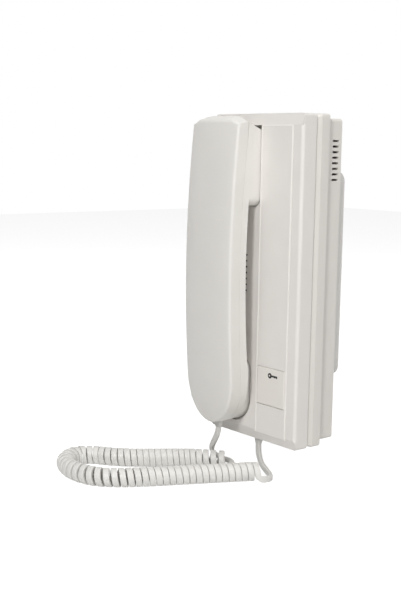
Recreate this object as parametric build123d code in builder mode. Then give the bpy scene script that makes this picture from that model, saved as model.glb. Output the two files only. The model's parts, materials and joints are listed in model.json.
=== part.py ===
from build123d import *
import os
from bisect import bisect_left
from math import acos, cos, pi, radians, sin, sqrt, tan

os.makedirs("parts", exist_ok=True)

# Door intercom station with a corded handset, hung on a wall plate.
# Millimetres. X runs to the right, -Y towards the user, +Z up.
# The origin is the centre of the wall plate's back, so the wall is the plane Y = 0.

# Body of the station
body_width = 86.4
body_height = 220.0
body_corner = 2.0
cover_depth = 12.0
housing_depth = 26.7
wall = 2.2
seat_gap = 0.3

# Wall plate behind the housing
plate_width = 75.0
plate_height = 138.0
plate_thick = 6.8
plate_web = 2.5
plate_corner = 7.0
plate_above_bottom = 114.0
plate_screw_spacing = 84.0
plate_screw_radius = 2.25
plate_pad_radius = 6.5
plate_pad_tall = 2.0
window_width = 32.0
window_height = 34.0
lug_spacing = 44.0
lug_width = 10.0
lug_tall = 3.6
lug_lip = 4.4
lug_lip_thick = 2.2
lug_above_centre = 51.0
lug_slot_drop = 5.0
lug_slot_gap = 0.4

# Front cover
front_edge_radius = 2.2
rear_edge_round = 0.4
top_bevel_height = 7.6
top_bevel_depth = 1.4
bottom_bevel_height = 7.0
bottom_bevel_depth = 2.2
panel_left = 5.4
panel_width = 28.9
panel_rise = 0.6
panel_edge = 0.4
panel_bottom = 5.6
panel_below_top = 7.6
grille_slots = 7
grille_pitch = 4.05
grille_slot_tall = 1.6
grille_slot_long = 24.0
grille_height = 113.5

# Seats of the handset in the cover
ear_pocket_depth = 4.8
ear_pocket_below_top = 61.2
ear_pocket_corner = 6.5
ear_pocket_gap = 0.6
ear_top_gap = 0.4
mouth_pocket_width = 36.0
mouth_pocket_bottom = 9.0
mouth_pocket_top = 55.0
mouth_pocket_depth = 3.0
mouth_pocket_corner = 8.0
mouth_gap = 1.6

# Rear housing
rim_start_inset = 1.6
rim_bevel_depth = 4.9
rim_depth = 7.3
back_inset = 2.8
back_corner = 2.2
back_chamfer = 0.4
rim_round = 0.5
vent_count = 8
vent_pitch = 3.6
vent_long = 5.8
vent_tall = 1.4
vents_below_top = 17.2
vent_from_back = 5.9

# Screws that hold cover and housing together
screw_radius = 1.5
screw_clearance = 0.1
screw_head_radius = 2.75
screw_head_tall = 2.0
screw_slot = 0.8
cover_screw_long = 28.5
post_inset = 10.2
post_low = 10.5
post_below_top = 14.0
housing_post_radius = 4.0
cover_post_radius = 3.6

# Door button
button_bottom = 26.1
button_top = 52.3
button_end_gap = 0.3
button_side_gap = 0.2
button_border = 1.1
button_face = 2.4
button_proud = 0.4
button_edge = 0.5
button_skirt = 1.4
button_lug_out = 1.2
button_lug_thick = 1.6
button_lug_height = 8.0
collar_wall = 1.5
collar_depth = 6.0
stem_radius = 2.4

# Circuit board
board_side_gap = 2.2
board_bottom = 20.0
board_height = 76.0
board_thick = 1.6
board_behind_front = 24.4
board_post_inset = 5.0
board_post_radius = 3.6
board_screw_long = 7.0

# Switches on the board
button_switch_size = 12.0
button_switch_tall = 7.0
switch_bore_radius = 2.2
switch_bore_depth = 6.0
switch_pin_radius = 1.8
switch_pin_long = 5.8
switch_pin_out = 1.8
pin_gap = 0.1
hook_above_bottom = 44.0
hook_head_radius = 3.0
hook_hole_gap = 0.4
hook_travel = 4.0
hook_flange_radius = 4.6
hook_flange_thick = 1.4
hook_switch_width = 12.0
hook_switch_height = 15.0
hook_switch_tall = 9.5
hook_stem_in = 5.6

# Other parts on the board
core_width = 24.0
core_stack = 12.0
core_tall = 15.0
core_leg = 5.0
core_yoke = 3.0
core_window = 4.5
core_x = -20.0
core_above_bottom = 76.0
winding_gap = 0.3
winding_side = 3.8
winding_end = 2.6
capacitor_count = 3
capacitor_radius = 4.0
capacitor_tall = 13.0
capacitor_pitch = 11.0
capacitor_x = 18.0
capacitor_above_bottom = 62.0
terminal_ways = 5
terminal_pitch = 5.8
terminal_tall = 11.0
terminal_deep = 11.0
terminal_x = 9.0
terminal_above_bottom = 86.0
terminal_screw_radius = 1.7
terminal_screw_tall = 2.0
terminal_well_depth = 5.0
terminal_well_gap = 0.3
terminal_wire = 3.2
terminal_wire_depth = 6.0
sounder_radius = 17.0
sounder_rim = 3.0
sounder_magnet_radius = 10.0
sounder_tall = 9.0
sounder_collar = 5.0

# Handset: depths are in front of the station's front face
handset_width = 47.2
handset_x = -18.8
handset_below_top = 1.6
handset_bottom = 10.3
shoulder_width = 11.0
shoulder_fall = 4.2
shoulder_round = 5.0
end_round_height = 32.0
front_at_ends = 20.9
front_at_middle = 26.9
seam_at_ends = 10.6
seam_at_middle = 17.0
arc_below_top = 1.0
arc_bottom = 8.0
ear_back = 6.2
grip_below_top = 60.0
grip_at_top = 10.4
grip_middle_below_top = 95.0
grip_at_middle = 11.6
grip_low = 56.0
grip_at_low = 8.8
mouth_top = 50.0
mouth_back = 7.4
top_slope_back = 12.6
top_slope_fall = 4.4
top_slope_run = -8.4
crown_front = 12.0
crown_fall = 5.4
crown_run = 12.8
crown_front_fall = 1.4
crown_front_run = 9.0
seam_gap = 0.1
edge_round = 1.1
shell_wall = 2.2
ear_block_corner = 6.0

# Parts in the handset
receiver_below_top = 34.0
receiver_radius = 18.0
receiver_rim = 3.0
receiver_magnet_radius = 11.0
receiver_tall = 8.0
receiver_collar = 5.0
gasket_thick = 1.0
gasket_width = 3.0
part_gap = 0.1
ear_hole_radius = 1.2
ear_ring_radius = 6.5
ear_ring_holes = 8
microphone_above_bottom = 26.0
microphone_radius = 4.9
microphone_tall = 5.5
boot_wall = 1.5
boot_floor = 1.2
boot_depth = 5.4
boot_collar = 4.0
collar_thick = 1.4
mouth_holes = 3
mouth_hole_pitch = 3.0
mouth_hole_radius = 0.8
ballast_width = 22.0
ballast_gap = 18.0
ballast_thick = 6.0
ballast_front = 20.1
handset_screw_below_top = 72.0
handset_screw_low = 68.0
handset_screw_long = 9.0
handset_screw_seat = 13.2
handset_pad_end = 15.4
handset_pad_radius = 4.2
handset_post_end = 15.8
handset_post_radius = 3.2
handset_post_long = 9.0
handset_post_hole = 8.0

# Strain reliefs at both ends of the cord
relief_width = 6.4
relief_thick = 3.6
relief_gap = 0.3
relief_ear = 1.3
relief_ear_thick = 1.5
relief_out = 2.2
relief_rise = 0.9
base_exit_x = 1.7
base_exit_depth = 6.6
handset_exit_front = 12.6

# Curly cord; the routes are chosen points, the coil's seen from above
cord_wire = 3.3
cord_sides = 6
coil_outer = 12.8
cord_rest_below = 25.4
coil_start_turn = 0.314
coil_steps = 1400
gap_samples = 24
heading_step = 0.002
coil_route = [
    (15.2, -50.8),
    (3.0, -74.7),
    (-11.0, -102.3),
    (-27.0, -131.5),
    (-41.5, -145.8),
    (-60.0, -150.0),
    (-78.5, -145.0),
    (-87.5, -133.5),
    (-84.5, -122.5),
    (-66.7, -107.8),
    (-49.0, -85.8),
    (-31.5, -63.9),
    (-17.0, -52.2),
]
coil_pitches = [(0, 5.0), (85, 5.2), (110, 6.8), (165, 6.6), (185, 4.8), (235, 4.9), (273, 6.2)]
base_route = [
    (1.7, -38.9, -126.0),
    (6.0, -39.3, -133.5),
    (15.0, -41.0, -136.6),
    (22.4, -44.9, -137.7),
]
handset_route = [
    (-19.3, -58.1, -112.0),
    (-22.2, -57.9, -118.0),
    (-25.5, -57.8, -122.5),
    (-28.5, -56.5, -126.0),
    (-29.5, -52.0, -128.5),
    (-28.0, -47.7, -132.5),
]
last_run = 3.6
last_run_far = 6.5
bend_share = 0.45

# Planes worked out from the sizes above
y_back = -plate_thick
y_parting = y_back - housing_depth
y_front = y_parting - cover_depth
y_rear_inner = y_back - wall
z_bottom = -plate_above_bottom
z_top = z_bottom + body_height
x_right = body_width / 2

# Heights above the body's bottom edge of what keeps its distance from the top
panel_top = body_height - panel_below_top
ear_pocket_bottom = body_height - ear_pocket_below_top
ear_block_bottom = ear_pocket_bottom + ear_pocket_gap
ear_block_top = panel_top - ear_top_gap
handset_top = body_height - handset_below_top
arc_top = body_height - arc_below_top
grip_top = body_height - grip_below_top
grip_middle = body_height - grip_middle_below_top
receiver_height = body_height - receiver_below_top
handset_screw_high = body_height - handset_screw_below_top
ballast_middle = (handset_screw_low + handset_screw_high) / 2
ballast_height = handset_screw_high - handset_screw_low - 2 * ballast_gap


def up(height):
    """Z of a height above the body's bottom edge."""
    return z_bottom + height


def back(depth):
    """Y of a depth behind the front face; a negative depth stands in front of it."""
    return y_front + depth


def at_depth(y):
    """Front-view sketch plane: local x is X, local y is Z, and extrudes run towards the user."""
    return Plane.XZ.offset(-y)


def at_side(x):
    """Side-view sketch plane: local x is Y, local y is Z, and extrudes run to the right."""
    return Plane.YZ.offset(x)


def save(piece, name):
    """Label a finished piece and write it."""
    piece.part.label = name
    export_step(piece.part, f"parts/{name}.step")


handset_right = handset_x + handset_width / 2
ear_block_depth = ear_pocket_depth - seat_gap
ear_block_low = up(ear_block_bottom)
ear_block_high = up(ear_block_top)
mouth_boss_depth = mouth_pocket_depth - seat_gap
boot_radius = microphone_radius + part_gap + boot_wall
button_x = panel_left + panel_width / 2
button_z = up((button_bottom + button_top) / 2)
button_height = button_top - button_bottom
button_width = panel_width - 2 * button_border
housing_inner_width = body_width - 2 * (back_inset + wall)
board_width = housing_inner_width - 2 * board_side_gap
board_front = back(board_behind_front)
board_back = board_front + board_thick
board_z = up(board_bottom + board_height / 2)
hook_z = up(hook_above_bottom)
cover_screws_at = [
    (sx * (x_right - post_inset), up(h))
    for sx in (-1, 1)
    for h in (post_low, body_height - post_below_top)
]
board_screws_at = [
    (sx * (board_width / 2 - board_post_inset), up(board_bottom + h))
    for sx in (-1, 1)
    for h in (board_post_inset, board_height - board_post_inset)
]
handset_screws_at = [(handset_x, up(h)) for h in (handset_screw_low, handset_screw_high)]


def cover_profile(inset):
    """Side view of the front cover, drawn inward by a wall for its cavity."""
    Polygon(
        (y_parting, z_bottom + inset),
        (back(bottom_bevel_depth + inset), z_bottom + inset),
        (back(inset), up(bottom_bevel_height)),
        (back(inset), z_top - top_bevel_height),
        (back(top_bevel_depth + inset), z_top - inset),
        (y_parting, z_top - inset),
        align=None,
    )


def ear_pocket_outline(left, grow):
    """Seat of the earpiece block from a left end, with its rounded lower right corner."""
    right = handset_right + ear_pocket_gap + grow
    low = up(ear_pocket_bottom) - grow
    high = up(panel_top) + grow
    with Locations(((left + right) / 2, (low + high) / 2)):
        Rectangle(right - left, high - low)
    fillet(vertices().group_by(Axis.X)[-1].sort_by(Axis.Y)[0], ear_pocket_corner + grow)


def mouth_outline(inset):
    """Seat of the mouthpiece: a round lower end and small upper corners."""
    half = mouth_pocket_width / 2
    low_centre = mouth_pocket_bottom + half
    high = mouth_pocket_top - inset
    with Locations((handset_x, up((low_centre + high) / 2))):
        Rectangle(2 * (half - inset), high - low_centre)
    fillet(vertices().group_by(Axis.Y)[-1], mouth_pocket_corner - min(inset, mouth_gap))
    with Locations((handset_x, up(low_centre))):
        Circle(half - inset)


# Front cover: bevelled shell with panel strip, handset seats, grille and button opening
with BuildPart() as front_cover:
    with BuildSketch(Plane.YZ):
        cover_profile(0)
    extrude(amount=x_right, both=True)
    fillet(front_cover.edges().filter_by(Axis.Y), radius=body_corner)
    front_face = front_cover.faces().filter_by(Axis.Y).sort_by(Axis.Y)[0]
    fillet(front_face.edges().filter_by(Axis.Z), radius=front_edge_radius)
    fillet(front_cover.faces().sort_by(Axis.Y)[-1].edges(), radius=rear_edge_round)
    with BuildSketch(Plane.YZ):
        cover_profile(wall)
    extrude(amount=x_right - wall, both=True, mode=Mode.SUBTRACT)
    with BuildSketch(at_depth(back(ear_pocket_depth + wall))):
        ear_pocket_outline(wall / 2 - x_right, wall)
    extrude(amount=ear_pocket_depth + wall / 2)
    with BuildSketch(at_depth(back(mouth_pocket_depth + wall))):
        mouth_outline(-wall)
    extrude(amount=mouth_pocket_depth + wall / 2)
    with BuildSketch(at_depth(back(wall + sounder_collar))):
        with Locations((handset_x, up(grille_height))):
            Circle(sounder_radius + seat_gap + collar_thick)
            Circle(sounder_radius + seat_gap, mode=Mode.SUBTRACT)
    extrude(amount=sounder_collar + wall / 2)
    with BuildSketch(at_depth(back(collar_depth))):
        with Locations((button_x, button_z)):
            Rectangle(button_width + 2 * collar_wall, button_height + 2 * collar_wall)
    extrude(amount=collar_depth - wall / 2)
    with BuildSketch(at_depth(y_parting - seat_gap)):
        with Locations(*cover_screws_at):
            Circle(cover_post_radius)
    extrude(amount=cover_depth - seat_gap - wall / 2)
    with BuildSketch(at_depth(back(wall / 2))):
        with Locations((button_x, up((panel_bottom + panel_top) / 2))):
            Rectangle(panel_width, panel_top - panel_bottom)
    extrude(amount=panel_rise + wall / 2)
    panel_face = front_cover.faces().filter_by(Axis.Y).sort_by(Axis.Y)[0]
    chamfer(panel_face.edges(), length=panel_edge)
    with BuildSketch(at_depth(back(ear_pocket_depth))):
        ear_pocket_outline(-x_right - wall, 0)
    extrude(amount=ear_pocket_depth + wall, mode=Mode.SUBTRACT)
    with BuildSketch(at_depth(back(mouth_pocket_depth))):
        mouth_outline(0)
    extrude(amount=mouth_pocket_depth + wall, mode=Mode.SUBTRACT)
    with BuildSketch(at_depth(back(collar_depth))):
        with Locations((button_x, button_z)):
            Rectangle(button_width, button_height)
    extrude(amount=wall + collar_depth, mode=Mode.SUBTRACT)
    with BuildSketch(at_depth(back(2 * wall))):
        with Locations((handset_x, up(grille_height))):
            with GridLocations(0, grille_pitch, 1, grille_slots):
                Rectangle(grille_slot_long, grille_slot_tall)
    extrude(amount=3 * wall, mode=Mode.SUBTRACT)
    with BuildSketch(at_depth(back(mouth_pocket_depth + 2 * wall))):
        with Locations((handset_x, hook_z)):
            Circle(hook_head_radius + hook_hole_gap)
    extrude(amount=3 * wall, mode=Mode.SUBTRACT)
    with BuildSketch(at_depth(y_parting)):
        with Locations(*cover_screws_at):
            Circle(screw_radius + screw_clearance)
    extrude(amount=cover_depth - ear_pocket_depth - wall, mode=Mode.SUBTRACT)
    with BuildSketch(Plane.XY.offset(z_bottom - wall)):
        with Locations((base_exit_x, back(base_exit_depth))):
            Rectangle(relief_width + 2 * relief_gap, relief_thick + 2 * relief_gap)
    extrude(amount=3 * wall, mode=Mode.SUBTRACT)
save(front_cover, "front_cover")

# Rear housing: bevelled rim, set-back rear half, side vents, posts and wall windows
rim_y = y_parting + rim_bevel_depth
step_y = rim_y + rim_depth
rim_inner_inset = 2 * (rim_start_inset + wall)
vent_y = y_back - vent_from_back
vent_z = up(body_height - vents_below_top - (vent_count - 1) * vent_pitch / 2)
with BuildPart() as rear_housing:
    with BuildSketch(at_depth(y_parting)):
        with Locations((0, up(body_height / 2))):
            RectangleRounded(
                body_width - 2 * rim_start_inset, body_height - 2 * rim_start_inset, body_corner
            )
    with BuildSketch(at_depth(rim_y)):
        with Locations((0, up(body_height / 2))):
            RectangleRounded(body_width, body_height, body_corner)
    loft(ruled=True)
    with BuildSketch(at_depth(step_y)):
        with Locations((0, up(body_height / 2))):
            RectangleRounded(body_width, body_height, body_corner)
    extrude(amount=rim_depth)
    rim_edges = rear_housing.edges().filter_by_position(Axis.Y, rim_y - rim_round, rim_y + rim_round)
    step_edges = rear_housing.faces().sort_by(Axis.Y)[-1].edges()
    fillet(rim_edges + step_edges, radius=rim_round)
    with BuildSketch(at_depth(y_back)):
        with Locations((0, up(body_height / 2))):
            RectangleRounded(body_width - 2 * back_inset, body_height - 2 * back_inset, back_corner)
    extrude(amount=y_back - step_y)
    chamfer(rear_housing.faces().sort_by(Axis.Y)[-1].edges(), length=back_chamfer)
    with BuildSketch(at_depth(y_rear_inner)):
        with Locations((0, up(body_height / 2))):
            Rectangle(housing_inner_width, body_height - 2 * (back_inset + wall))
    extrude(amount=housing_depth, mode=Mode.SUBTRACT)
    with BuildSketch(at_depth(step_y - wall)):
        with Locations((0, up(body_height / 2))):
            Rectangle(body_width - rim_inner_inset, body_height - rim_inner_inset)
    extrude(amount=housing_depth, mode=Mode.SUBTRACT)
    with BuildSketch(at_depth(y_rear_inner + wall / 2)):
        with Locations(*cover_screws_at):
            Circle(housing_post_radius)
    extrude(amount=y_rear_inner + wall / 2 - y_parting)
    with BuildSketch(at_depth(y_rear_inner + wall / 2)):
        with Locations(*board_screws_at):
            Circle(board_post_radius)
    extrude(amount=y_rear_inner + wall / 2 - board_back)
    with BuildSketch(at_depth(y_back)):
        with Locations(*cover_screws_at):
            Circle(screw_radius + screw_clearance)
        with Locations((0, 0)):
            Rectangle(window_width, window_height)
        lug_slot_tall = lug_slot_drop + lug_tall + lug_slot_gap
        lug_slot_z = lug_above_centre + lug_tall + lug_slot_gap - lug_slot_tall / 2
        with Locations((0, lug_slot_z)):
            with GridLocations(lug_spacing, 0, 2, 1):
                Rectangle(lug_width + 2 * lug_slot_gap, lug_slot_tall)
    extrude(amount=housing_depth + wall, mode=Mode.SUBTRACT)
    with BuildSketch(at_depth(y_back)):
        with Locations(*cover_screws_at):
            Circle(screw_head_radius + seat_gap)
    extrude(amount=screw_head_tall + seat_gap, mode=Mode.SUBTRACT)
    with BuildSketch(at_depth(board_back + board_screw_long)):
        with Locations(*board_screws_at):
            Circle(screw_radius + screw_clearance)
    extrude(amount=board_screw_long + wall, mode=Mode.SUBTRACT)
    for side in (-1, 1):
        with BuildSketch(at_side(side * x_right)):
            with Locations((vent_y, vent_z)):
                with GridLocations(0, vent_pitch, 1, vent_count):
                    Rectangle(vent_long, vent_tall)
        extrude(amount=-side * (back_inset + wall + back_inset / 4), mode=Mode.SUBTRACT)
save(rear_housing, "rear_housing")

# Wall plate: tray with a cable window, two screw holes and two hooks for the housing
plate_inner_width = plate_width - 2 * wall
plate_inner_height = plate_height - 2 * wall
hook_front = y_rear_inner - seat_gap
with BuildPart() as wall_plate:
    with BuildSketch(at_depth(0)):
        RectangleRounded(plate_width, plate_height, plate_corner)
    extrude(amount=plate_thick)
    with BuildSketch(at_depth(-plate_web)):
        RectangleRounded(plate_inner_width, plate_inner_height, plate_corner - wall)
    extrude(amount=plate_thick, mode=Mode.SUBTRACT)
    with BuildSketch(at_depth(-plate_web / 2)):
        with GridLocations(0, plate_screw_spacing, 1, 2):
            Circle(plate_pad_radius)
        Rectangle(window_width + 2 * wall, window_height + 2 * wall)
    extrude(amount=plate_web / 2 + plate_pad_tall)
    with BuildSketch(at_depth(0)):
        Rectangle(window_width, window_height)
        with GridLocations(0, plate_screw_spacing, 1, 2):
            Circle(plate_screw_radius)
    extrude(amount=plate_thick, mode=Mode.SUBTRACT)
    with BuildSketch(at_depth(-plate_web / 2)):
        with Locations((0, lug_above_centre + lug_tall / 2)):
            with GridLocations(lug_spacing, 0, 2, 1):
                Rectangle(lug_width, lug_tall)
    extrude(amount=-plate_web / 2 - hook_front)
    with BuildSketch(at_depth(hook_front)):
        with Locations((0, lug_above_centre + (lug_tall + lug_lip) / 2)):
            with GridLocations(lug_spacing, 0, 2, 1):
                Rectangle(lug_width, lug_tall + lug_lip)
    extrude(amount=lug_lip_thick)
save(wall_plate, "wall_plate")


def screw_group(places, head_y, long, towards):
    """Pan-head screws: heads at head_y, shanks running towards the user (1) or the wall (-1)."""
    with BuildPart() as screws:
        with BuildSketch(at_depth(head_y)):
            with Locations(*places):
                Circle(screw_radius)
        extrude(amount=towards * long)
        with BuildSketch(at_depth(head_y)):
            with Locations(*places):
                Circle(screw_head_radius)
        extrude(amount=-towards * screw_head_tall)
        with BuildSketch(at_depth(head_y + towards * screw_head_tall)):
            with Locations(*places):
                Rectangle(2 * screw_head_radius, screw_slot)
        extrude(amount=towards * screw_head_tall / 2, mode=Mode.SUBTRACT)
    return screws


cover_screws = screw_group(cover_screws_at, y_back - screw_head_tall - seat_gap, cover_screw_long, 1)
save(cover_screws, "cover_screws")

# Circuit board on four posts
with BuildPart() as main_board:
    with BuildSketch(at_depth(board_back)):
        with Locations((0, board_z)):
            Rectangle(board_width, board_height)
        with Locations(*board_screws_at):
            Circle(screw_radius + screw_clearance, mode=Mode.SUBTRACT)
    extrude(amount=board_thick)
save(main_board, "main_board")

board_screws = screw_group(board_screws_at, board_front, board_screw_long, -1)
save(board_screws, "board_screws")

# Hook switch: body with a bore for the plunger's stem
switch_face = board_front - hook_switch_tall
with BuildPart() as hook_switch:
    with BuildSketch(at_depth(board_front)):
        with Locations((handset_x, hook_z)):
            Rectangle(hook_switch_width, hook_switch_height)
    extrude(amount=hook_switch_tall)
    chamfer(hook_switch.faces().sort_by(Axis.Y)[0].edges(), length=panel_edge)
    with BuildSketch(at_depth(switch_face + hook_stem_in + seat_gap)):
        with Locations((handset_x, hook_z)):
            Circle(switch_bore_radius)
    extrude(amount=hook_switch_tall, mode=Mode.SUBTRACT)
save(hook_switch, "hook_switch")

# Hook plunger: rounded head in the mouthpiece seat, flange behind it, stem into the switch
plunger_tip = back(mouth_pocket_depth)
flange_y = back(mouth_pocket_depth + wall) + hook_travel + seat_gap
with BuildPart() as hook_plunger:
    with BuildSketch(at_depth(flange_y)):
        with Locations((handset_x, hook_z)):
            Circle(hook_head_radius)
    extrude(amount=flange_y - plunger_tip)
    fillet(hook_plunger.faces().sort_by(Axis.Y)[0].edges(), radius=hook_head_radius / 3)
    with BuildSketch(at_depth(flange_y + hook_flange_thick)):
        with Locations((handset_x, hook_z)):
            Circle(hook_flange_radius)
    extrude(amount=hook_flange_thick)
    with BuildSketch(at_depth(switch_face + hook_stem_in)):
        with Locations((handset_x, hook_z)):
            Circle(switch_pin_radius)
    extrude(amount=switch_face + hook_stem_in - flange_y)
save(hook_plunger, "hook_plunger")

# Door button: hollow cap with side lugs that hold it in the collar, and a stem to its switch
button_front = back(-panel_rise - button_proud)
lug_front = back(collar_depth + seat_gap)
lug_rear = lug_front + button_lug_thick
pin_face = board_front - button_switch_tall - switch_pin_out
cap_width = button_width - 2 * button_side_gap
cap_height = button_height - 2 * button_end_gap
with BuildPart() as door_button:
    with BuildSketch(at_depth(lug_rear)):
        with Locations((button_x, button_z)):
            Rectangle(cap_width, cap_height)
    extrude(amount=lug_rear - button_front)
    chamfer(door_button.faces().sort_by(Axis.Y)[0].edges(), length=button_edge)
    with BuildSketch(at_depth(lug_rear)):
        with Locations((button_x, button_z)):
            Rectangle(cap_width - 2 * button_skirt, cap_height - 2 * button_skirt)
    extrude(amount=lug_rear - button_front - button_face, mode=Mode.SUBTRACT)
    with BuildSketch(at_depth(lug_rear)):
        with Locations((button_x, button_z)):
            with GridLocations(cap_width, 0, 2, 1):
                Rectangle(2 * button_lug_out, button_lug_height)
    extrude(amount=button_lug_thick)
    with BuildSketch(at_depth(pin_face - pin_gap)):
        with Locations((button_x, button_z)):
            Circle(stem_radius)
    extrude(amount=pin_face - pin_gap - button_front - button_face / 2)
save(door_button, "door_button")

# Switch under the door button, and its pin
with BuildPart() as button_switch:
    with BuildSketch(at_depth(board_front)):
        with Locations((button_x, button_z)):
            Rectangle(button_switch_size, button_switch_size)
    extrude(amount=button_switch_tall)
    chamfer(button_switch.faces().sort_by(Axis.Y)[0].edges(), length=panel_edge)
    with BuildSketch(at_depth(board_front - button_switch_tall + switch_bore_depth)):
        with Locations((button_x, button_z)):
            Circle(switch_bore_radius)
    extrude(amount=button_switch_tall, mode=Mode.SUBTRACT)
save(button_switch, "button_switch")

with BuildPart() as switch_pin:
    with BuildSketch(at_depth(pin_face + switch_pin_long)):
        with Locations((button_x, button_z)):
            Circle(switch_pin_radius)
    extrude(amount=switch_pin_long)
save(switch_pin, "switch_pin")

# Transformer: laminated core with two windows, and the winding on its middle leg
core_z = up(core_above_bottom)
window_tall = core_tall - 2 * core_yoke
core_mid = board_front - core_tall / 2
with BuildPart() as transformer_core:
    with BuildSketch(Plane.XY.offset(core_z - core_stack / 2)):
        with Locations((core_x, core_mid)):
            Rectangle(core_width, core_tall)
            with GridLocations(core_leg + core_window, 0, 2, 1):
                Rectangle(core_window, window_tall, mode=Mode.SUBTRACT)
    extrude(amount=core_stack)
save(transformer_core, "transformer_core")

with BuildPart() as transformer_winding:
    with BuildSketch(at_depth(core_mid + window_tall / 2 - winding_gap)):
        with Locations((core_x, core_z)):
            RectangleRounded(
                core_leg + 2 * winding_side, core_stack + 2 * winding_gap + 2 * winding_end, winding_end
            )
            Rectangle(core_leg + 2 * winding_gap, core_stack + 2 * winding_gap, mode=Mode.SUBTRACT)
    extrude(amount=window_tall - 2 * winding_gap)
save(transformer_winding, "transformer_winding")

# Capacitors standing on the board
with BuildPart() as capacitors:
    with BuildSketch(at_depth(board_front)):
        with Locations((capacitor_x, up(capacitor_above_bottom))):
            with GridLocations(capacitor_pitch, 0, capacitor_count, 1):
                Circle(capacitor_radius)
    extrude(amount=capacitor_tall)
    chamfer(capacitors.faces().group_by(Axis.Y)[0].edges(), length=panel_edge)
save(capacitors, "capacitors")

# Terminal block with screw wells at the front and wire holes at the top
terminal_z = up(terminal_above_bottom)
terminal_front = board_front - terminal_tall
with BuildPart() as terminal_block:
    with BuildSketch(at_depth(board_front)):
        with Locations((terminal_x, terminal_z)):
            Rectangle(terminal_ways * terminal_pitch, terminal_deep)
    extrude(amount=terminal_tall)
    with BuildSketch(at_depth(terminal_front + terminal_well_depth)):
        with Locations((terminal_x, terminal_z)):
            with GridLocations(terminal_pitch, 0, terminal_ways, 1):
                Circle(terminal_screw_radius + terminal_well_gap)
    extrude(amount=terminal_well_depth + wall, mode=Mode.SUBTRACT)
    with BuildSketch(Plane.XY.offset(terminal_z + terminal_deep / 2)):
        with Locations((terminal_x, board_front - terminal_wire)):
            with GridLocations(terminal_pitch, 0, terminal_ways, 1):
                Rectangle(terminal_wire, terminal_wire)
    extrude(amount=-terminal_wire_depth, mode=Mode.SUBTRACT)
save(terminal_block, "terminal_block")

with BuildPart() as terminal_screws:
    with BuildSketch(at_depth(terminal_front + terminal_well_depth)):
        with Locations((terminal_x, terminal_z)):
            with GridLocations(terminal_pitch, 0, terminal_ways, 1):
                Circle(terminal_screw_radius)
    extrude(amount=terminal_screw_tall)
    with BuildSketch(at_depth(terminal_front + terminal_well_depth - terminal_screw_tall)):
        with Locations((terminal_x, terminal_z)):
            with GridLocations(terminal_pitch, 0, terminal_ways, 1):
                Rectangle(2 * terminal_screw_radius, screw_slot)
    extrude(amount=-terminal_screw_tall / 2, mode=Mode.SUBTRACT)
save(terminal_screws, "terminal_screws")

# Sounder behind the grille: rim, magnet pot
sounder_front = back(wall + part_gap)
with BuildPart() as sounder:
    with BuildSketch(at_depth(sounder_front + sounder_rim)):
        with Locations((handset_x, up(grille_height))):
            Circle(sounder_radius)
    extrude(amount=sounder_rim)
    with BuildSketch(at_depth(sounder_front + sounder_tall)):
        with Locations((handset_x, up(grille_height))):
            Circle(sounder_magnet_radius)
    extrude(amount=sounder_tall - sounder_rim)
save(sounder, "sounder")


# Handset: front view outline and side view curves
def ahead(depth):
    """Y of a depth in front of the station's front face."""
    return y_front - depth


def handset_outline(inset):
    """Front view of the handset below its crown: straight sides and an elliptical lower end."""
    half = handset_width / 2 - inset
    round_centre = handset_bottom + end_round_height
    high = handset_top - inset
    with Locations((handset_x, up((round_centre + high) / 2))):
        Rectangle(2 * half, high - round_centre)
    with Locations((handset_x, up(round_centre))):
        Ellipse(half, end_round_height - inset)


def long_arc(at_ends, at_middle):
    """Long curve of the handset, from its lower end to its top."""
    ThreePointArc(
        (ahead(at_ends), up(arc_bottom)),
        (ahead(at_middle), up((arc_top + arc_bottom) / 2)),
        (ahead(at_ends), up(arc_top)),
    )


def end_lines(front, rear):
    """Straight ends that close a side view between two curves."""
    Line((ahead(front), up(arc_bottom)), (ahead(rear[0]), up(arc_bottom)))
    Line((ahead(front), up(arc_top)), (ahead(rear[1]), up(arc_top)))


def rear_curve(shift):
    """Rear of the handset: mouthpiece, grip and ear end, moved forward by a shift."""
    Polyline(
        (ahead(mouth_back + shift), up(arc_bottom)),
        (ahead(mouth_back + shift), up(mouth_top)),
        (ahead(grip_at_low + shift), up(grip_low)),
    )
    ThreePointArc(
        (ahead(grip_at_low + shift), up(grip_low)),
        (ahead(grip_at_middle + shift), up(grip_middle)),
        (ahead(grip_at_top + shift), up(grip_top)),
    )
    Line((ahead(grip_at_top + shift), up(grip_top)), (ahead(ear_back + shift), up(arc_top)))


def above_shoulders(drop):
    """Front view of what lies above the crown: level in the middle, falling to both sides."""
    half = handset_width / 2
    level = half - shoulder_width
    high = up(handset_top - drop)
    low = high - shoulder_fall
    Polygon(
        (handset_x - 2 * half, low - shoulder_fall * half / shoulder_width),
        (handset_x - level, high),
        (handset_x + level, high),
        (handset_x + 2 * half, low - shoulder_fall * half / shoulder_width),
        (handset_x + 2 * half, high + half),
        (handset_x - 2 * half, high + half),
        align=None,
    )
    bends = vertices().filter_by_position(Axis.Y, high - shoulder_fall / 2, high + shoulder_fall / 2)
    fillet(bends, shoulder_round)


def slope_wall(fall, run):
    """Height between a slope's outside and its inside, one wall apart."""
    return shell_wall * sqrt(fall**2 + run**2) / abs(run)


def above_line(start, fall, run):
    """Side view of what lies above a slope that falls along a run from its start."""
    depth, height = start
    Polygon(
        (ahead(depth - run), up(height + fall)),
        (ahead(depth + 2 * run), up(height - 2 * fall)),
        (ahead(depth + 2 * run), up(height + 3 * fall)),
        align=None,
    )


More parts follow.
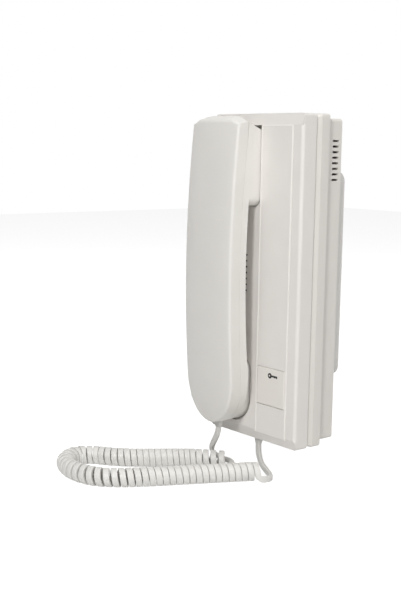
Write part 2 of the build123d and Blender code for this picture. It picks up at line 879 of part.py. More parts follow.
def crown_space(drop):
    """Space above the crown: it falls from a ridge to the wall, and less to the front slope."""
    with BuildPart() as space:
        with BuildSketch(at_depth(ahead(crown_front))):
            above_shoulders(drop)
        extrude(amount=handset_width, dir=(0, crown_run, -crown_fall))
        with BuildSketch(at_depth(ahead(crown_front))):
            above_shoulders(drop)
        extrude(amount=handset_width, dir=(0, -crown_front_run, -crown_front_fall))
        with BuildSketch(at_side(handset_x)):
            above_line((top_slope_back, handset_top - drop), top_slope_fall, top_slope_run)
        extrude(amount=handset_width, both=True)
    return space


above_crown = crown_space(0)
above_crown_inside = crown_space(slope_wall(top_slope_fall, top_slope_run))

# Inside of the outer shell
with BuildPart() as outer_hollow:
    with BuildSketch(at_side(handset_x)):
        with BuildLine():
            long_arc(front_at_ends - shell_wall, front_at_middle - shell_wall)
            long_arc(seam_at_ends - shell_wall, seam_at_middle - shell_wall)
            end_lines(front_at_ends - shell_wall, (seam_at_ends - shell_wall, seam_at_ends - shell_wall))
        make_face()
    extrude(amount=handset_width / 2, both=True)
    with BuildSketch(at_depth(y_front)):
        handset_outline(shell_wall)
    extrude(amount=2 * front_at_middle, both=True, mode=Mode.INTERSECT)
    add(above_crown_inside.part, mode=Mode.SUBTRACT)

# Outer shell of the handset, with screw posts, ribs under the weight and the cord's notch
with BuildPart() as handset_outer_shell:
    with BuildSketch(at_side(handset_x)):
        with BuildLine():
            long_arc(front_at_ends, front_at_middle)
            long_arc(seam_at_ends, seam_at_middle)
            end_lines(front_at_ends, (seam_at_ends, seam_at_ends))
        make_face()
    extrude(amount=handset_width, both=True)
    with BuildSketch(at_depth(y_front)):
        handset_outline(0)
    extrude(amount=2 * front_at_middle, both=True, mode=Mode.INTERSECT)
    outer_face = handset_outer_shell.faces().filter_by(GeomType.CYLINDER).sort_by(SortBy.AREA)[-1]
    fillet(outer_face.edges().sort_by(Axis.Z)[:-1], radius=edge_round)
    add(above_crown.part, mode=Mode.SUBTRACT)
    add(outer_hollow.part, mode=Mode.SUBTRACT)
    with BuildSketch(at_depth(ahead(handset_post_end))):
        with Locations(*handset_screws_at):
            Circle(handset_post_radius)
    extrude(amount=handset_post_long)
    with BuildSketch(at_depth(ahead(handset_post_end))):
        with Locations(*handset_screws_at):
            Circle(screw_radius + screw_clearance)
    extrude(amount=handset_post_hole, mode=Mode.SUBTRACT)
    with BuildSketch(at_depth(ahead(ballast_front + part_gap))):
        with Locations((handset_x, up(ballast_middle))):
            with GridLocations(0, ballast_height / 2, 1, 2):
                Rectangle(ballast_width, shell_wall)
    extrude(amount=front_at_middle - shell_wall / 2 - ballast_front - part_gap)
    with BuildSketch(Plane.XY.offset(up(handset_bottom - shell_wall))):
        with Locations((handset_x, ahead(handset_exit_front))):
            Rectangle(relief_width + 2 * relief_gap, relief_thick + 2 * relief_gap)
    extrude(amount=3 * shell_wall, mode=Mode.SUBTRACT)
save(handset_outer_shell, "handset_outer_shell")

# Inside of the inner shell
with BuildPart() as inner_hollow:
    with BuildSketch(at_side(handset_x)):
        with BuildLine():
            long_arc(seam_at_ends + shell_wall, seam_at_middle + shell_wall)
            rear_curve(shell_wall)
            rear_ends = (mouth_back + shell_wall, ear_back + shell_wall)
            end_lines(seam_at_ends + shell_wall, rear_ends)
        make_face()
    extrude(amount=handset_width / 2, both=True)
    with BuildSketch(at_depth(y_front)):
        handset_outline(shell_wall)
    extrude(amount=2 * front_at_middle, both=True, mode=Mode.INTERSECT)
    with BuildSketch(at_depth(back(ear_block_depth - shell_wall))):
        with Locations((handset_x, (ear_block_low + ear_block_high) / 2)):
            Rectangle(handset_width - 2 * shell_wall, ear_block_high - ear_block_low - 2 * shell_wall)
        fillet(vertices().group_by(Axis.Y)[0], ear_block_corner - shell_wall)
    extrude(amount=ear_block_depth + grip_at_top)
    with BuildSketch(at_depth(back(mouth_boss_depth - shell_wall))):
        mouth_outline(mouth_gap + shell_wall)
    extrude(amount=mouth_boss_depth + mouth_back)
    add(above_crown_inside.part, mode=Mode.SUBTRACT)

# Inner shell of the handset, with ear block, mouthpiece boss, collars, screw pads and sound holes
with BuildPart() as handset_inner_shell:
    with BuildSketch(at_side(handset_x)):
        with BuildLine():
            long_arc(seam_at_ends - seam_gap, seam_at_middle - seam_gap)
            rear_curve(0)
            end_lines(seam_at_ends - seam_gap, (mouth_back, ear_back))
        make_face()
    extrude(amount=handset_width, both=True)
    with BuildSketch(at_depth(y_front)):
        handset_outline(0)
    extrude(amount=2 * front_at_middle, both=True, mode=Mode.INTERSECT)
    with BuildSketch(at_depth(back(ear_block_depth))):
        with Locations((handset_x, (ear_block_low + ear_block_high) / 2)):
            Rectangle(handset_width, ear_block_high - ear_block_low)
        fillet(vertices().group_by(Axis.Y)[0], ear_block_corner)
    extrude(amount=ear_block_depth + grip_at_top + shell_wall / 4)
    with BuildSketch(at_depth(back(mouth_boss_depth))):
        mouth_outline(mouth_gap)
    extrude(amount=mouth_boss_depth + mouth_back + shell_wall / 2)
    add(above_crown.part, mode=Mode.SUBTRACT)
    add(inner_hollow.part, mode=Mode.SUBTRACT)
    with BuildSketch(at_depth(back(ear_block_depth - shell_wall / 2))):
        with Locations((handset_x, up(receiver_height))):
            Circle(receiver_radius + seat_gap + collar_thick)
            Circle(receiver_radius + seat_gap, mode=Mode.SUBTRACT)
    extrude(amount=receiver_collar + shell_wall / 2)
    with BuildSketch(at_depth(back(mouth_boss_depth - shell_wall / 2))):
        with Locations((handset_x, up(microphone_above_bottom))):
            Circle(boot_radius + seat_gap + collar_thick)
            Circle(boot_radius + seat_gap, mode=Mode.SUBTRACT)
    extrude(amount=boot_collar + shell_wall / 2)
    with BuildSketch(at_depth(ahead(handset_screw_seat - screw_head_tall))):
        with Locations(*handset_screws_at):
            Circle(handset_pad_radius)
    extrude(amount=handset_pad_end - handset_screw_seat + screw_head_tall)
    with BuildSketch(at_depth(back(0))):
        with Locations(*handset_screws_at):
            Circle(screw_head_radius + seat_gap)
    extrude(amount=handset_screw_seat, mode=Mode.SUBTRACT)
    with BuildSketch(at_depth(back(0))):
        with Locations(*handset_screws_at):
            Circle(screw_radius + screw_clearance)
    extrude(amount=handset_pad_end + shell_wall, mode=Mode.SUBTRACT)
    with BuildSketch(at_depth(back(ear_block_depth + shell_wall))):
        with Locations((handset_x, up(receiver_height))):
            Circle(ear_hole_radius)
            with PolarLocations(ear_ring_radius, ear_ring_holes):
                Circle(ear_hole_radius)
    extrude(amount=3 * shell_wall, mode=Mode.SUBTRACT)
    with BuildSketch(at_depth(back(mouth_boss_depth + shell_wall))):
        with Locations((handset_x, up(microphone_above_bottom))):
            with GridLocations(mouth_hole_pitch, 0, mouth_holes, 1):
                Circle(mouth_hole_radius)
    extrude(amount=3 * shell_wall, mode=Mode.SUBTRACT)
    with BuildSketch(Plane.XY.offset(up(handset_bottom - shell_wall))):
        with Locations((handset_x, ahead(handset_exit_front))):
            Rectangle(relief_width + 2 * relief_gap, relief_thick + 2 * relief_gap)
    extrude(amount=3 * shell_wall, mode=Mode.SUBTRACT)
save(handset_inner_shell, "handset_inner_shell")

# Screws of the handset, sunk in the grip's rear
handset_screws = screw_group(handset_screws_at, ahead(handset_screw_seat), handset_screw_long, 1)
save(handset_screws, "handset_screws")

# Receiver in the ear block: gasket against the wall, wide rim, magnet pot
gasket_rear = back(ear_block_depth - shell_wall - part_gap)
receiver_rear = gasket_rear - gasket_thick - part_gap
with BuildPart() as receiver_gasket:
    with BuildSketch(at_depth(gasket_rear)):
        with Locations((handset_x, up(receiver_height))):
            Circle(receiver_radius)
            Circle(receiver_radius - gasket_width, mode=Mode.SUBTRACT)
    extrude(amount=gasket_thick)
save(receiver_gasket, "receiver_gasket")

with BuildPart() as earpiece_receiver:
    with BuildSketch(at_depth(receiver_rear)):
        with Locations((handset_x, up(receiver_height))):
            Circle(receiver_radius)
    extrude(amount=receiver_rim)
    with BuildSketch(at_depth(receiver_rear - receiver_rim)):
        with Locations((handset_x, up(receiver_height))):
            Circle(receiver_magnet_radius)
    extrude(amount=receiver_tall - receiver_rim)
save(earpiece_receiver, "earpiece_receiver")

# Microphone in its rubber boot
boot_rear = back(mouth_boss_depth - shell_wall - part_gap)
with BuildPart() as microphone_boot:
    with BuildSketch(at_depth(boot_rear)):
        with Locations((handset_x, up(microphone_above_bottom))):
            Circle(boot_radius)
    extrude(amount=boot_depth)
    with BuildSketch(at_depth(boot_rear - boot_floor)):
        with Locations((handset_x, up(microphone_above_bottom))):
            Circle(microphone_radius + part_gap)
    extrude(amount=boot_depth, mode=Mode.SUBTRACT)
    with BuildSketch(at_depth(boot_rear)):
        with Locations((handset_x, up(microphone_above_bottom))):
            Circle(mouth_hole_pitch + mouth_hole_radius)
    extrude(amount=boot_floor, mode=Mode.SUBTRACT)
save(microphone_boot, "microphone_boot")

with BuildPart() as microphone_capsule:
    with BuildSketch(at_depth(boot_rear - boot_floor - part_gap)):
        with Locations((handset_x, up(microphone_above_bottom))):
            Circle(microphone_radius)
    extrude(amount=microphone_tall)
    chamfer(microphone_capsule.faces().sort_by(Axis.Y)[0].edges(), length=panel_edge)
save(microphone_capsule, "microphone_capsule")

# Steel weight in the grip
with BuildPart() as ballast_weight:
    with BuildSketch(at_depth(ahead(ballast_front - ballast_thick))):
        with Locations((handset_x, up(ballast_middle))):
            Rectangle(ballast_width, ballast_height)
    extrude(amount=ballast_thick)
    chamfer(ballast_weight.edges().filter_by(Axis.Y), length=panel_edge)
save(ballast_weight, "ballast_weight")


def cord_relief(x, y, edge_z, inner_z):
    """Strain relief at an exit: shank down through the wall, and ears that hold it inside."""
    with BuildPart() as relief:
        with BuildSketch(Plane.XY.offset(edge_z - relief_out)):
            with Locations((x, y)):
                RectangleRounded(relief_width, relief_thick, relief_thick / 4)
        extrude(amount=inner_z - edge_z + relief_out)
        with BuildSketch(Plane.XY.offset(inner_z)):
            with Locations((x, y)):
                Rectangle(relief_width + 2 * relief_ear, relief_thick)
        extrude(amount=relief_ear_thick)
    return relief


base_exit_y = back(base_exit_depth)
handset_exit_y = ahead(handset_exit_front)
base_relief = cord_relief(base_exit_x, base_exit_y, z_bottom, z_bottom + wall + seat_gap)
save(base_relief, "base_strain_relief")
handset_relief = cord_relief(
    handset_x, handset_exit_y, up(handset_bottom), up(handset_bottom + shell_wall + relief_rise)
)
save(handset_relief, "handset_strain_relief")

# Axis of the curly cord, seen from above: out towards the user, round, and back under the handset
coil_radius = (coil_outer - cord_wire) / 2
coil_axis_z = z_bottom - cord_rest_below + coil_outer / 2
coil_axis = Spline(*[(x, y, coil_axis_z) for x, y in coil_route])
coil_length = coil_axis.length


def coil_pitch(station):
    """Pitch at a distance along the axis, between the values that are given."""
    for (s0, p0), (s1, p1) in zip(coil_pitches, coil_pitches[1:]):
        if station <= s1:
            return p0 + (p1 - p0) * (station - s0) / (s1 - s0)
    return coil_pitches[-1][1]


# Turns passed at each step along the axis, stretched a little so that the last turn ends at the bottom
stations = [coil_length * i / coil_steps for i in range(coil_steps + 1)]
passed = [coil_start_turn]
for low, high in zip(stations, stations[1:]):
    passed.append(passed[-1] + (high - low) / coil_pitch((low + high) / 2))
last_turn = round(passed[-1])
stretch = (last_turn - coil_start_turn) / (passed[-1] - coil_start_turn)
passed = [coil_start_turn + stretch * (turn - coil_start_turn) for turn in passed]


def coil_point(turn):
    """Point of the wire's centre after a number of turns, counted from the bottom of the first."""
    i = min(max(bisect_left(passed, turn), 1), coil_steps)
    share = (turn - passed[i - 1]) / (passed[i] - passed[i - 1])
    station = stations[i - 1] + share * (stations[i] - stations[i - 1])
    centre = coil_axis.position_at(station, position_mode=PositionMode.LENGTH)
    along = coil_axis.tangent_at(station, position_mode=PositionMode.LENGTH)
    across = Vector(0, 0, 1).cross(along)
    angle = 2 * pi * turn
    return centre + across * (coil_radius * sin(angle)) - Vector(0, 0, coil_radius * cos(angle))


def arc_through(start, direction, end):
    """Arc that leaves start in a direction and reaches end; its radius is returned."""
    chord = end - start
    straight = chord.normalized()
    half_turn = acos(max(-1, min(1, straight.dot(direction))))
    side = (direction - straight * straight.dot(direction)).normalized()
    middle = start + chord / 2 + side * (chord.length / 2 * tan(half_turn / 2))
    ThreePointArc(start, middle, end)
    return chord.length / 2 / sin(half_turn)


def biarc(start, leaving, end, arriving):
    """Two tangent arcs between points with given directions; the smaller radius is returned."""
    chord = end - start
    total = leaving + arriving
    spread = 2 * (1 - leaving.dot(arriving))
    reach = (sqrt(chord.dot(total) ** 2 + spread * chord.dot(chord)) - chord.dot(total)) / spread
    first_leg = start + leaving * reach
    last_leg = end - arriving * reach
    join = (first_leg + last_leg) / 2
    first = arc_through(start, leaving, join)
    second = arc_through(join, (last_leg - first_leg).normalized(), end)
    return min(first, second)


def turn_radii(points):
    """Bend radii of a lead, as large as its runs allow, with its free ends fully used."""
    corners = [Vector(p) for p in points]
    runs = [(b - a).length for a, b in zip(corners, corners[1:])]
    runs[0] *= 2
    runs[-1] *= 2
    radii = []
    for i in range(1, len(corners) - 1):
        angle = (corners[i] - corners[i - 1]).get_angle(corners[i + 1] - corners[i])
        radii.append(bend_share * min(runs[i - 1], runs[i]) / tan(radians(angle) / 2))
    return radii


# Half-turn stations of the coil, and the directions of the wire there
half_turns = round(2 * (last_turn - coil_start_turn))
turns = [coil_start_turn + (last_turn - coil_start_turn) * i / half_turns for i in range(half_turns + 1)]
coil_points = [coil_point(turn) for turn in turns]
coil_headings = [
    (coil_point(turn + heading_step) - coil_point(turn - heading_step)).normalized()
    for turn in turns
]
coil_start = coil_points[0] - coil_headings[0] * cord_wire
coil_end = coil_points[-1] + coil_headings[-1] * cord_wire

# Curly cord: a straight end of one diameter, the turns as biarcs, and a straight end
with BuildPart() as curly_cord:
    with BuildLine() as coil_path:
        Line(coil_start, coil_points[0])
        coil_radii = [
            biarc(coil_points[i], coil_headings[i], coil_points[i + 1], coil_headings[i + 1])
            for i in range(half_turns)
        ]
        Line(coil_points[-1], coil_end)
    with BuildSketch(Plane(origin=coil_start, z_dir=coil_headings[0])):
        RegularPolygon(cord_wire / 2, cord_sides)
    sweep(clean=False)
save(curly_cord, "curly_cord")


def lead_tube(points):
    """Tube of the cord along straight runs joined by tangent arcs."""
    with BuildPart() as lead:
        with BuildLine():
            FilletPolyline(*points, radius=turn_radii(points))
        with BuildSketch(Plane(origin=points[0], z_dir=Vector(points[1]) - Vector(points[0]))):
            RegularPolygon(cord_wire / 2, cord_sides)
        sweep()
    return lead


# Leads of the cord: from the station's bottom to the coil, and from the handset to its far end
base_top = (base_exit_x, base_exit_y, z_bottom - relief_out)
base_points = [base_top, *base_route, tuple(coil_start - coil_headings[0] * last_run), tuple(coil_start)]
handset_end_z = up(handset_bottom) - relief_out - seat_gap
handset_points = [
    (handset_x, handset_exit_y, handset_end_z),
    *handset_route,
    tuple(coil_end + coil_headings[-1] * last_run_far),
    tuple(coil_end),
]
base_lead = lead_tube(base_points)
save(base_lead, "cord_base_lead")
handset_lead = lead_tube(handset_points)
save(handset_lead, "cord_handset_lead")

# Checks on the cord: bend radii, length, and the least gap of the coil to itself
sample_count = int((last_turn - coil_start_turn) * gap_samples)
samples = [coil_point(coil_start_turn + i / gap_samples) for i in range(sample_count)]
gap = min(
    (samples[i] - samples[j]).length
    for i in range(len(samples))
    for j in range(i + gap_samples // 2, min(len(samples), i + 2 * gap_samples))
)
print("turns", round(last_turn - coil_start_turn, 2), "axis length", round(coil_length, 1))
print("least radius in the turns", round(min(coil_radii), 2), "least gap", round(gap - cord_wire, 2))
for label, points in (("base lead", base_points), ("handset lead", handset_points)):
    print(label, "radii", [round(r, 1) for r in turn_radii(points)])
cord_length = sum(edge.length for edge in coil_path.edges())
print("length of the coil's wire", round(cord_length, 1))
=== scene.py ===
import json
from bisect import bisect_left
from math import cos, pi, radians, sin

import bmesh
import bpy
from bpy.props import FloatProperty, FloatVectorProperty, IntProperty, PointerProperty
from mathutils import Matrix, Vector


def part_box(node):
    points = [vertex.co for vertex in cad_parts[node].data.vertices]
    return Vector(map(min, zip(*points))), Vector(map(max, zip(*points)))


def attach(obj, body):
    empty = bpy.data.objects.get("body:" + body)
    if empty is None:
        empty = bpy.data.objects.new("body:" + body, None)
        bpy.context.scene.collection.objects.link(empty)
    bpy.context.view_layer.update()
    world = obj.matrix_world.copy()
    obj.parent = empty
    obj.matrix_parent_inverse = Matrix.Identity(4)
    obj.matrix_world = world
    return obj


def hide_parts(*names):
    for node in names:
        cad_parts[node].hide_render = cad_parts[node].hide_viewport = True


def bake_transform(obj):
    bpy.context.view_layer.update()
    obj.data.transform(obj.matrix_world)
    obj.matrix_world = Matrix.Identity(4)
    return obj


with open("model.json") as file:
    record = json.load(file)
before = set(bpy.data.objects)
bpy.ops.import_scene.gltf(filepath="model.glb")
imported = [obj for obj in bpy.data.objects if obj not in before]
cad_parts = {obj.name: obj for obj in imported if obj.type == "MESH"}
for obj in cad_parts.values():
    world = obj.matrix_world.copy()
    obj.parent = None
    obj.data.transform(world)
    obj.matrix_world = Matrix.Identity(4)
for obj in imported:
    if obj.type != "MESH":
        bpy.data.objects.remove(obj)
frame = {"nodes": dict(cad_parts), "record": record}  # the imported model, which the pieces below are fitted round

bl_info = {
    "name": "Door intercom",
    "version": (1, 0, 0),
    "blender": (4, 5, 0),
    "location": "3D View > Sidebar > Intercom",
    "description": "Builds the dressed pieces of a wall-hung door intercom round its packed frame",
    "category": "Add Mesh",
}

MM = 0.001  # metres in a millimetre


# Sizes and colours that a user would change


def length(name, about, value, **more):
    """A length in metres, given in millimetres."""
    return FloatProperty(
        name=name, description=about, default=value * MM, unit="LENGTH", precision=5, **more
    )


def colour(name, about, value):
    """A linear colour."""
    return FloatVectorProperty(
        name=name, description=about, default=value, subtype="COLOR", size=3, min=0.0, max=1.0
    )


def share(name, about, value):
    """A number from 0 to 1."""
    return FloatProperty(
        name=name, description=about, default=value, subtype="FACTOR", min=0.0, max=1.0
    )


class INTERCOM_PG_view(bpy.types.PropertyGroup):
    place: FloatVectorProperty(
        name="Place",
        description="Where the camera stands",
        default=(0.51646, -0.51557, 0.08307),
        subtype="TRANSLATION",
        size=3,
        precision=5,
    )
    azimuth: FloatProperty(
        name="Azimuth",
        description="Turn of the view about the vertical; 0 looks straight at the front",
        default=radians(50.614),
        subtype="ANGLE",
    )
    elevation: FloatProperty(
        name="Elevation",
        description="Angle by which the camera looks down",
        default=radians(8.334),
        subtype="ANGLE",
    )
    roll: FloatProperty(
        name="Roll",
        description="Small turn of the picture about the line of sight",
        default=radians(0.91),
        subtype="ANGLE",
    )
    lens: FloatProperty(
        name="Lens",
        description="Focal length on a 36 mm sensor",
        default=62.452,
        min=10.0,
        unit="CAMERA",
    )


class INTERCOM_PG_studio(bpy.types.PropertyGroup):
    floor_below: length("Floor", "Depth of the floor below the wall plate's centre", 139.4)
    floor_size: length("Floor size", "Side of the square floor", 5000.0)
    floor_colour: colour("Floor colour", "Plain pale floor", (0.80, 0.80, 0.80))
    floor_white: share("Floor glow", "White that the camera and reflections see there", 0.82)
    ambient: share("Ambient", "Level of the even light from all round", 0.12)
    key_level: share("Key light", "Level of the main light, from the front and above", 0.431)
    side_level: share("Side light", "Level of the light from the right", 0.346)
    top_level: share("Top light", "Level of the light from above", 0.287)


class INTERCOM_PG_cord(bpy.types.PropertyGroup):
    band_width: length("Band width", "Width of the flat cord", 4.1)
    band_thick: length("Band thickness", "Thickness of the flat cord", 2.4)
    band_edge: length("Band edge", "Radius of the flat cord's edges", 0.5)
    coil_outer: length("Coil diameter", "Outer diameter of the curls", 12.8)
    turn_points: IntProperty(
        name="Points a turn", description="Control points in each curl", default=14, min=12, max=24
    )


class INTERCOM_PG_fittings(bpy.types.PropertyGroup):
    relief_length: length("Relief length", "Length of a strain relief outside its shell", 4.2)
    relief_inside: length("Relief inside", "Length of a strain relief inside its shell", 4.0)
    relief_width: length("Relief width", "Width of a strain relief in its opening", 6.4)
    relief_thick: length("Relief thickness", "Thickness of a strain relief in its opening", 3.6)
    relief_edge: length("Relief edge", "Radius of a strain relief's edges", 0.9)
    relief_lip: length("Relief lip", "What a strain relief's tip has over the cord's section", 0.7)
    key_long: length("Key length", "Length of the key printed on the door button", 9.0)
    key_head: length("Key head", "Radius of the printed key's head", 1.85)
    key_hole: length("Key hole", "Radius of the hole in the printed key's head", 0.6)
    key_shank: length("Key shank", "Width of the printed key's shank", 1.25)
    key_right: length("Key right", "Distance of the key's middle from the button's middle", 2.1)
    key_down: length("Key down", "Distance of the key's middle from the button's top", 4.9)
    key_print: length("Print", "Thickness of the print", 0.06)
    rim_round: length("Rim", "Rounding of the handset's front rim", 1.6)
    front_crown: length("Crown", "Fall of the handset's front from its middle to its sides", 1.6)
    brow_back: length("Brow back", "Distance of the front's top edge behind the front's middle", 5.8)
    brow_drop: length("Brow", "Depth of the front's top edge below the handset's top", 2.9)
    brow_slope: FloatProperty(
        name="Brow slope",
        description="Slope of the handset's top behind the front's edge",
        default=radians(22),
        subtype="ANGLE",
    )


class INTERCOM_PG_finish(bpy.types.PropertyGroup):
    cover: colour("Cover", "Moulded front cover", (0.797, 0.767, 0.732))
    # The housing's tone is set darker than the cover's: painted shade, standing in for the shade on its inset rear
    # half
    housing: colour("Housing", "Moulded rear housing", (0.746, 0.717, 0.673))
    handset: colour("Handset", "Moulded handset", (0.774, 0.754, 0.717))
    button: colour("Button", "Door button", (0.795, 0.765, 0.717))
    # The plate's tone is set darker: painted shade, standing in for the shade behind the housing
    plate: colour("Plate", "Wall plate", (0.738, 0.722, 0.688))
    cord: colour("Cord", "Jacket of the curly cord", (0.765, 0.753, 0.72))
    relief: colour("Reliefs", "Rubber of the strain reliefs", (0.74, 0.73, 0.70))
    print_ink: colour("Print", "Ink of the printed key", (0.012, 0.012, 0.013))


class INTERCOM_PG_settings(bpy.types.PropertyGroup):
    view: PointerProperty(type=INTERCOM_PG_view)
    studio: PointerProperty(type=INTERCOM_PG_studio)
    cord: PointerProperty(type=INTERCOM_PG_cord)
    fittings: PointerProperty(type=INTERCOM_PG_fittings)
    finish: PointerProperty(type=INTERCOM_PG_finish)


# Materials


def add_node(tree, kind, values=None, **settings):
    """A new shader node with some of its sockets and settings given."""
    node = tree.nodes.new(kind)
    for name, value in settings.items():
        setattr(node, name, value)
    for socket, value in (values or {}).items():
        node.inputs[socket].default_value = value
    return node


def new_material(name, values):
    """A material with a Principled shader whose plain values are set, and its node tree."""
    material = bpy.data.materials.new(name)
    material.use_nodes = True
    tree = material.node_tree
    surface = next(n for n in tree.nodes if n.type == "BSDF_PRINCIPLED")
    for socket, value in values.items():
        surface.inputs[socket].default_value = value
    return material, tree, surface


def shaded(tone, factor):
    """A colour with its brightness multiplied, and its alpha."""
    return (*[min(1.0, part * factor) for part in tone], 1.0)


def cloud_noise(tree, grain, detail=3.0, squeeze=(1.0, 1.0, 1.0)):
    """Noise on object coordinates whose features are about a grain in size."""
    coords = add_node(tree, "ShaderNodeTexCoord")
    mapping = add_node(tree, "ShaderNodeMapping", {"Scale": squeeze})
    noise = add_node(tree, "ShaderNodeTexNoise", {"Scale": 1.0 / grain, "Detail": detail})
    tree.links.new(coords.outputs["Object"], mapping.inputs["Vector"])
    tree.links.new(mapping.outputs["Vector"], noise.inputs["Vector"])
    return noise


def vary_colour(tree, surface, noise, tone, low, high):
    """Base colour that drifts between two shares of a tone."""
    ramp = add_node(tree, "ShaderNodeValToRGB")
    for stop, place, factor in zip(ramp.color_ramp.elements, (0.32, 0.68), (low, high)):
        stop.position = place
        stop.color = shaded(tone, factor)
    tree.links.new(noise.outputs["Fac"], ramp.inputs["Fac"])
    tree.links.new(ramp.outputs["Color"], surface.inputs["Base Color"])


def vary_roughness(tree, surface, noise, low, high):
    """Roughness that drifts between two values."""
    span = add_node(
        tree,
        "ShaderNodeMapRange",
        {"From Min": 0.35, "From Max": 0.65, "To Min": low, "To Max": high},
    )
    tree.links.new(noise.outputs["Fac"], span.inputs["Value"])
    tree.links.new(span.outputs["Result"], surface.inputs["Roughness"])


def emboss(tree, surface, heights, distance, strength):
    """Small relief of the surface from a height output."""
    bump = add_node(tree, "ShaderNodeBump", {"Strength": strength, "Distance": distance})
    tree.links.new(heights, bump.inputs["Height"])
    tree.links.new(bump.outputs["Normal"], surface.inputs["Normal"])


def moulded_plastic(name, tone, roughness, grain, depth):
    """Moulded ABS: a spark-eroded satin grain, a faint drift of tone and of gloss."""
    material, tree, surface = new_material(name, {"IOR": 1.5, "Roughness": roughness})
    drift = cloud_noise(tree, grain=24 * MM, detail=2.0)
    vary_colour(tree, surface, drift, tone, low=0.988, high=1.012)
    vary_roughness(tree, surface, drift, low=roughness - 0.03, high=roughness + 0.04)
    texture = cloud_noise(tree, grain, detail=4.0)
    emboss(tree, surface, texture.outputs["Fac"], distance=depth, strength=0.5)
    return material


def soft_rubber(name, tone, roughness):
    """Soft PVC or rubber: smooth, slightly oily, with faint streaks from the tool."""
    material, tree, surface = new_material(name, {"IOR": 1.48, "Roughness": roughness})
    drift = cloud_noise(tree, grain=9 * MM)
    vary_colour(tree, surface, drift, tone, low=0.965, high=1.02)
    vary_roughness(tree, surface, drift, low=roughness - 0.05, high=roughness + 0.06)
    texture = cloud_noise(tree, grain=0.5 * MM)
    emboss(tree, surface, texture.outputs["Fac"], distance=0.02 * MM, strength=0.4)
    return material


def worked_metal(name, tone, roughness, squeeze):
    """Metal with brush or rolling marks along one axis."""
    material, tree, surface = new_material(name, {"Metallic": 1.0, "Roughness": roughness})
    marks = cloud_noise(tree, grain=0.6 * MM, detail=4.0, squeeze=squeeze)
    vary_colour(tree, surface, marks, tone, low=0.88, high=1.08)
    vary_roughness(tree, surface, marks, low=roughness - 0.08, high=roughness + 0.10)
    emboss(tree, surface, marks.outputs["Fac"], distance=0.01 * MM, strength=0.5)
    return material


def lacquered_board(name, tone):
    """Green lacquer over copper tracks on a glass laminate."""
    material, tree, surface = new_material(name, {"Roughness": 0.3, "Coat Weight": 0.4})
    coords = add_node(tree, "ShaderNodeTexCoord")
    mapping = add_node(tree, "ShaderNodeMapping", {"Rotation": (pi / 2, 0.0, 0.0)})
    tracks = add_node(
        tree,
        "ShaderNodeTexBrick",
        {
            "Scale": 1.0,
            "Brick Width": 9 * MM,
            "Row Height": 3.4 * MM,
            "Mortar Size": 0.35 * MM,
            "Color1": shaded(tone, 0.9),
            "Color2": shaded(tone, 1.05),
            "Mortar": shaded(tone, 1.7),
        },
    )
    tree.links.new(coords.outputs["Object"], mapping.inputs["Vector"])
    tree.links.new(mapping.outputs["Vector"], tracks.inputs["Vector"])
    tree.links.new(tracks.outputs["Color"], surface.inputs["Base Color"])
    emboss(tree, surface, tracks.outputs["Fac"], distance=0.03 * MM, strength=0.4)
    return material


def layered_steel(name, tone, sheet):
    """Edges of stacked steel sheets, one every sheet thickness along Z."""
    material, tree, surface = new_material(name, {"Metallic": 1.0, "Roughness": 0.5})
    coords = add_node(tree, "ShaderNodeTexCoord")
    bands = add_node(
        tree, "ShaderNodeTexWave", {"Scale": 0.05 / sheet, "Distortion": 0.4}, bands_direction="Z"
    )
    tree.links.new(coords.outputs["Object"], bands.inputs["Vector"])
    vary_colour(tree, surface, bands, tone, low=0.7, high=1.1)
    emboss(tree, surface, bands.outputs["Fac"], distance=0.05 * MM, strength=0.6)
    return material


def printed_ink(name, tone):
    """Matte printing ink with a faint fleck."""
    material, tree, surface = new_material(name, {"Roughness": 0.5})
    fleck = cloud_noise(tree, grain=0.3 * MM, detail=2.0)
    vary_colour(tree, surface, fleck, tone, low=0.8, high=1.3)
    return material


def finishes():
    """Maker and values of each slot's material, as the makers above take them after the name."""
    finish = bpy.context.scene.intercom.finish
    return {
        "cover_plastic": (moulded_plastic, finish.cover, 0.42, 0.45 * MM, 0.03 * MM),
        # the housing's darker tone is painted shade
        "housing_plastic": (moulded_plastic, finish.housing, 0.46, 0.45 * MM, 0.03 * MM),
        "handset_plastic": (moulded_plastic, finish.handset, 0.38, 0.5 * MM, 0.02 * MM),
        "button_plastic": (moulded_plastic, finish.button, 0.36, 0.5 * MM, 0.02 * MM),
        # the plate's darker tone is painted shade
        "plate_plastic": (moulded_plastic, finish.plate, 0.52, 0.4 * MM, 0.03 * MM),
        "cord_jacket": (soft_rubber, finish.cord, 0.42),
        "relief_rubber": (soft_rubber, finish.relief, 0.5),
        "screw_steel": (worked_metal, (0.62, 0.62, 0.63), 0.34, (1.0, 0.2, 1.0)),
        "board_laminate": (lacquered_board, (0.10, 0.32, 0.17)),
        "switch_plastic": (moulded_plastic, (0.08, 0.08, 0.085), 0.5, 0.4 * MM, 0.02 * MM),
        "plunger_plastic": (moulded_plastic, (0.80, 0.79, 0.77), 0.34, 0.5 * MM, 0.01 * MM),
        "core_steel": (layered_steel, (0.35, 0.35, 0.36), 0.5 * MM),
        "winding_tape": (soft_rubber, (0.75, 0.62, 0.18), 0.4),
        "capacitor_sleeve": (soft_rubber, (0.07, 0.09, 0.16), 0.3),
        "terminal_plastic": (moulded_plastic, (0.12, 0.38, 0.24), 0.45, 0.4 * MM, 0.02 * MM),
        "capsule_plastic": (moulded_plastic, (0.06, 0.06, 0.065), 0.5, 0.4 * MM, 0.02 * MM),
        "gasket_foam": (soft_rubber, (0.10, 0.10, 0.10), 0.85),
        "capsule_aluminium": (worked_metal, (0.75, 0.75, 0.76), 0.36, (1.0, 1.0, 0.1)),
        "boot_rubber": (soft_rubber, (0.05, 0.05, 0.05), 0.65),
        "weight_steel": (worked_metal, (0.30, 0.30, 0.31), 0.6, (1.0, 1.0, 1.0)),
    }


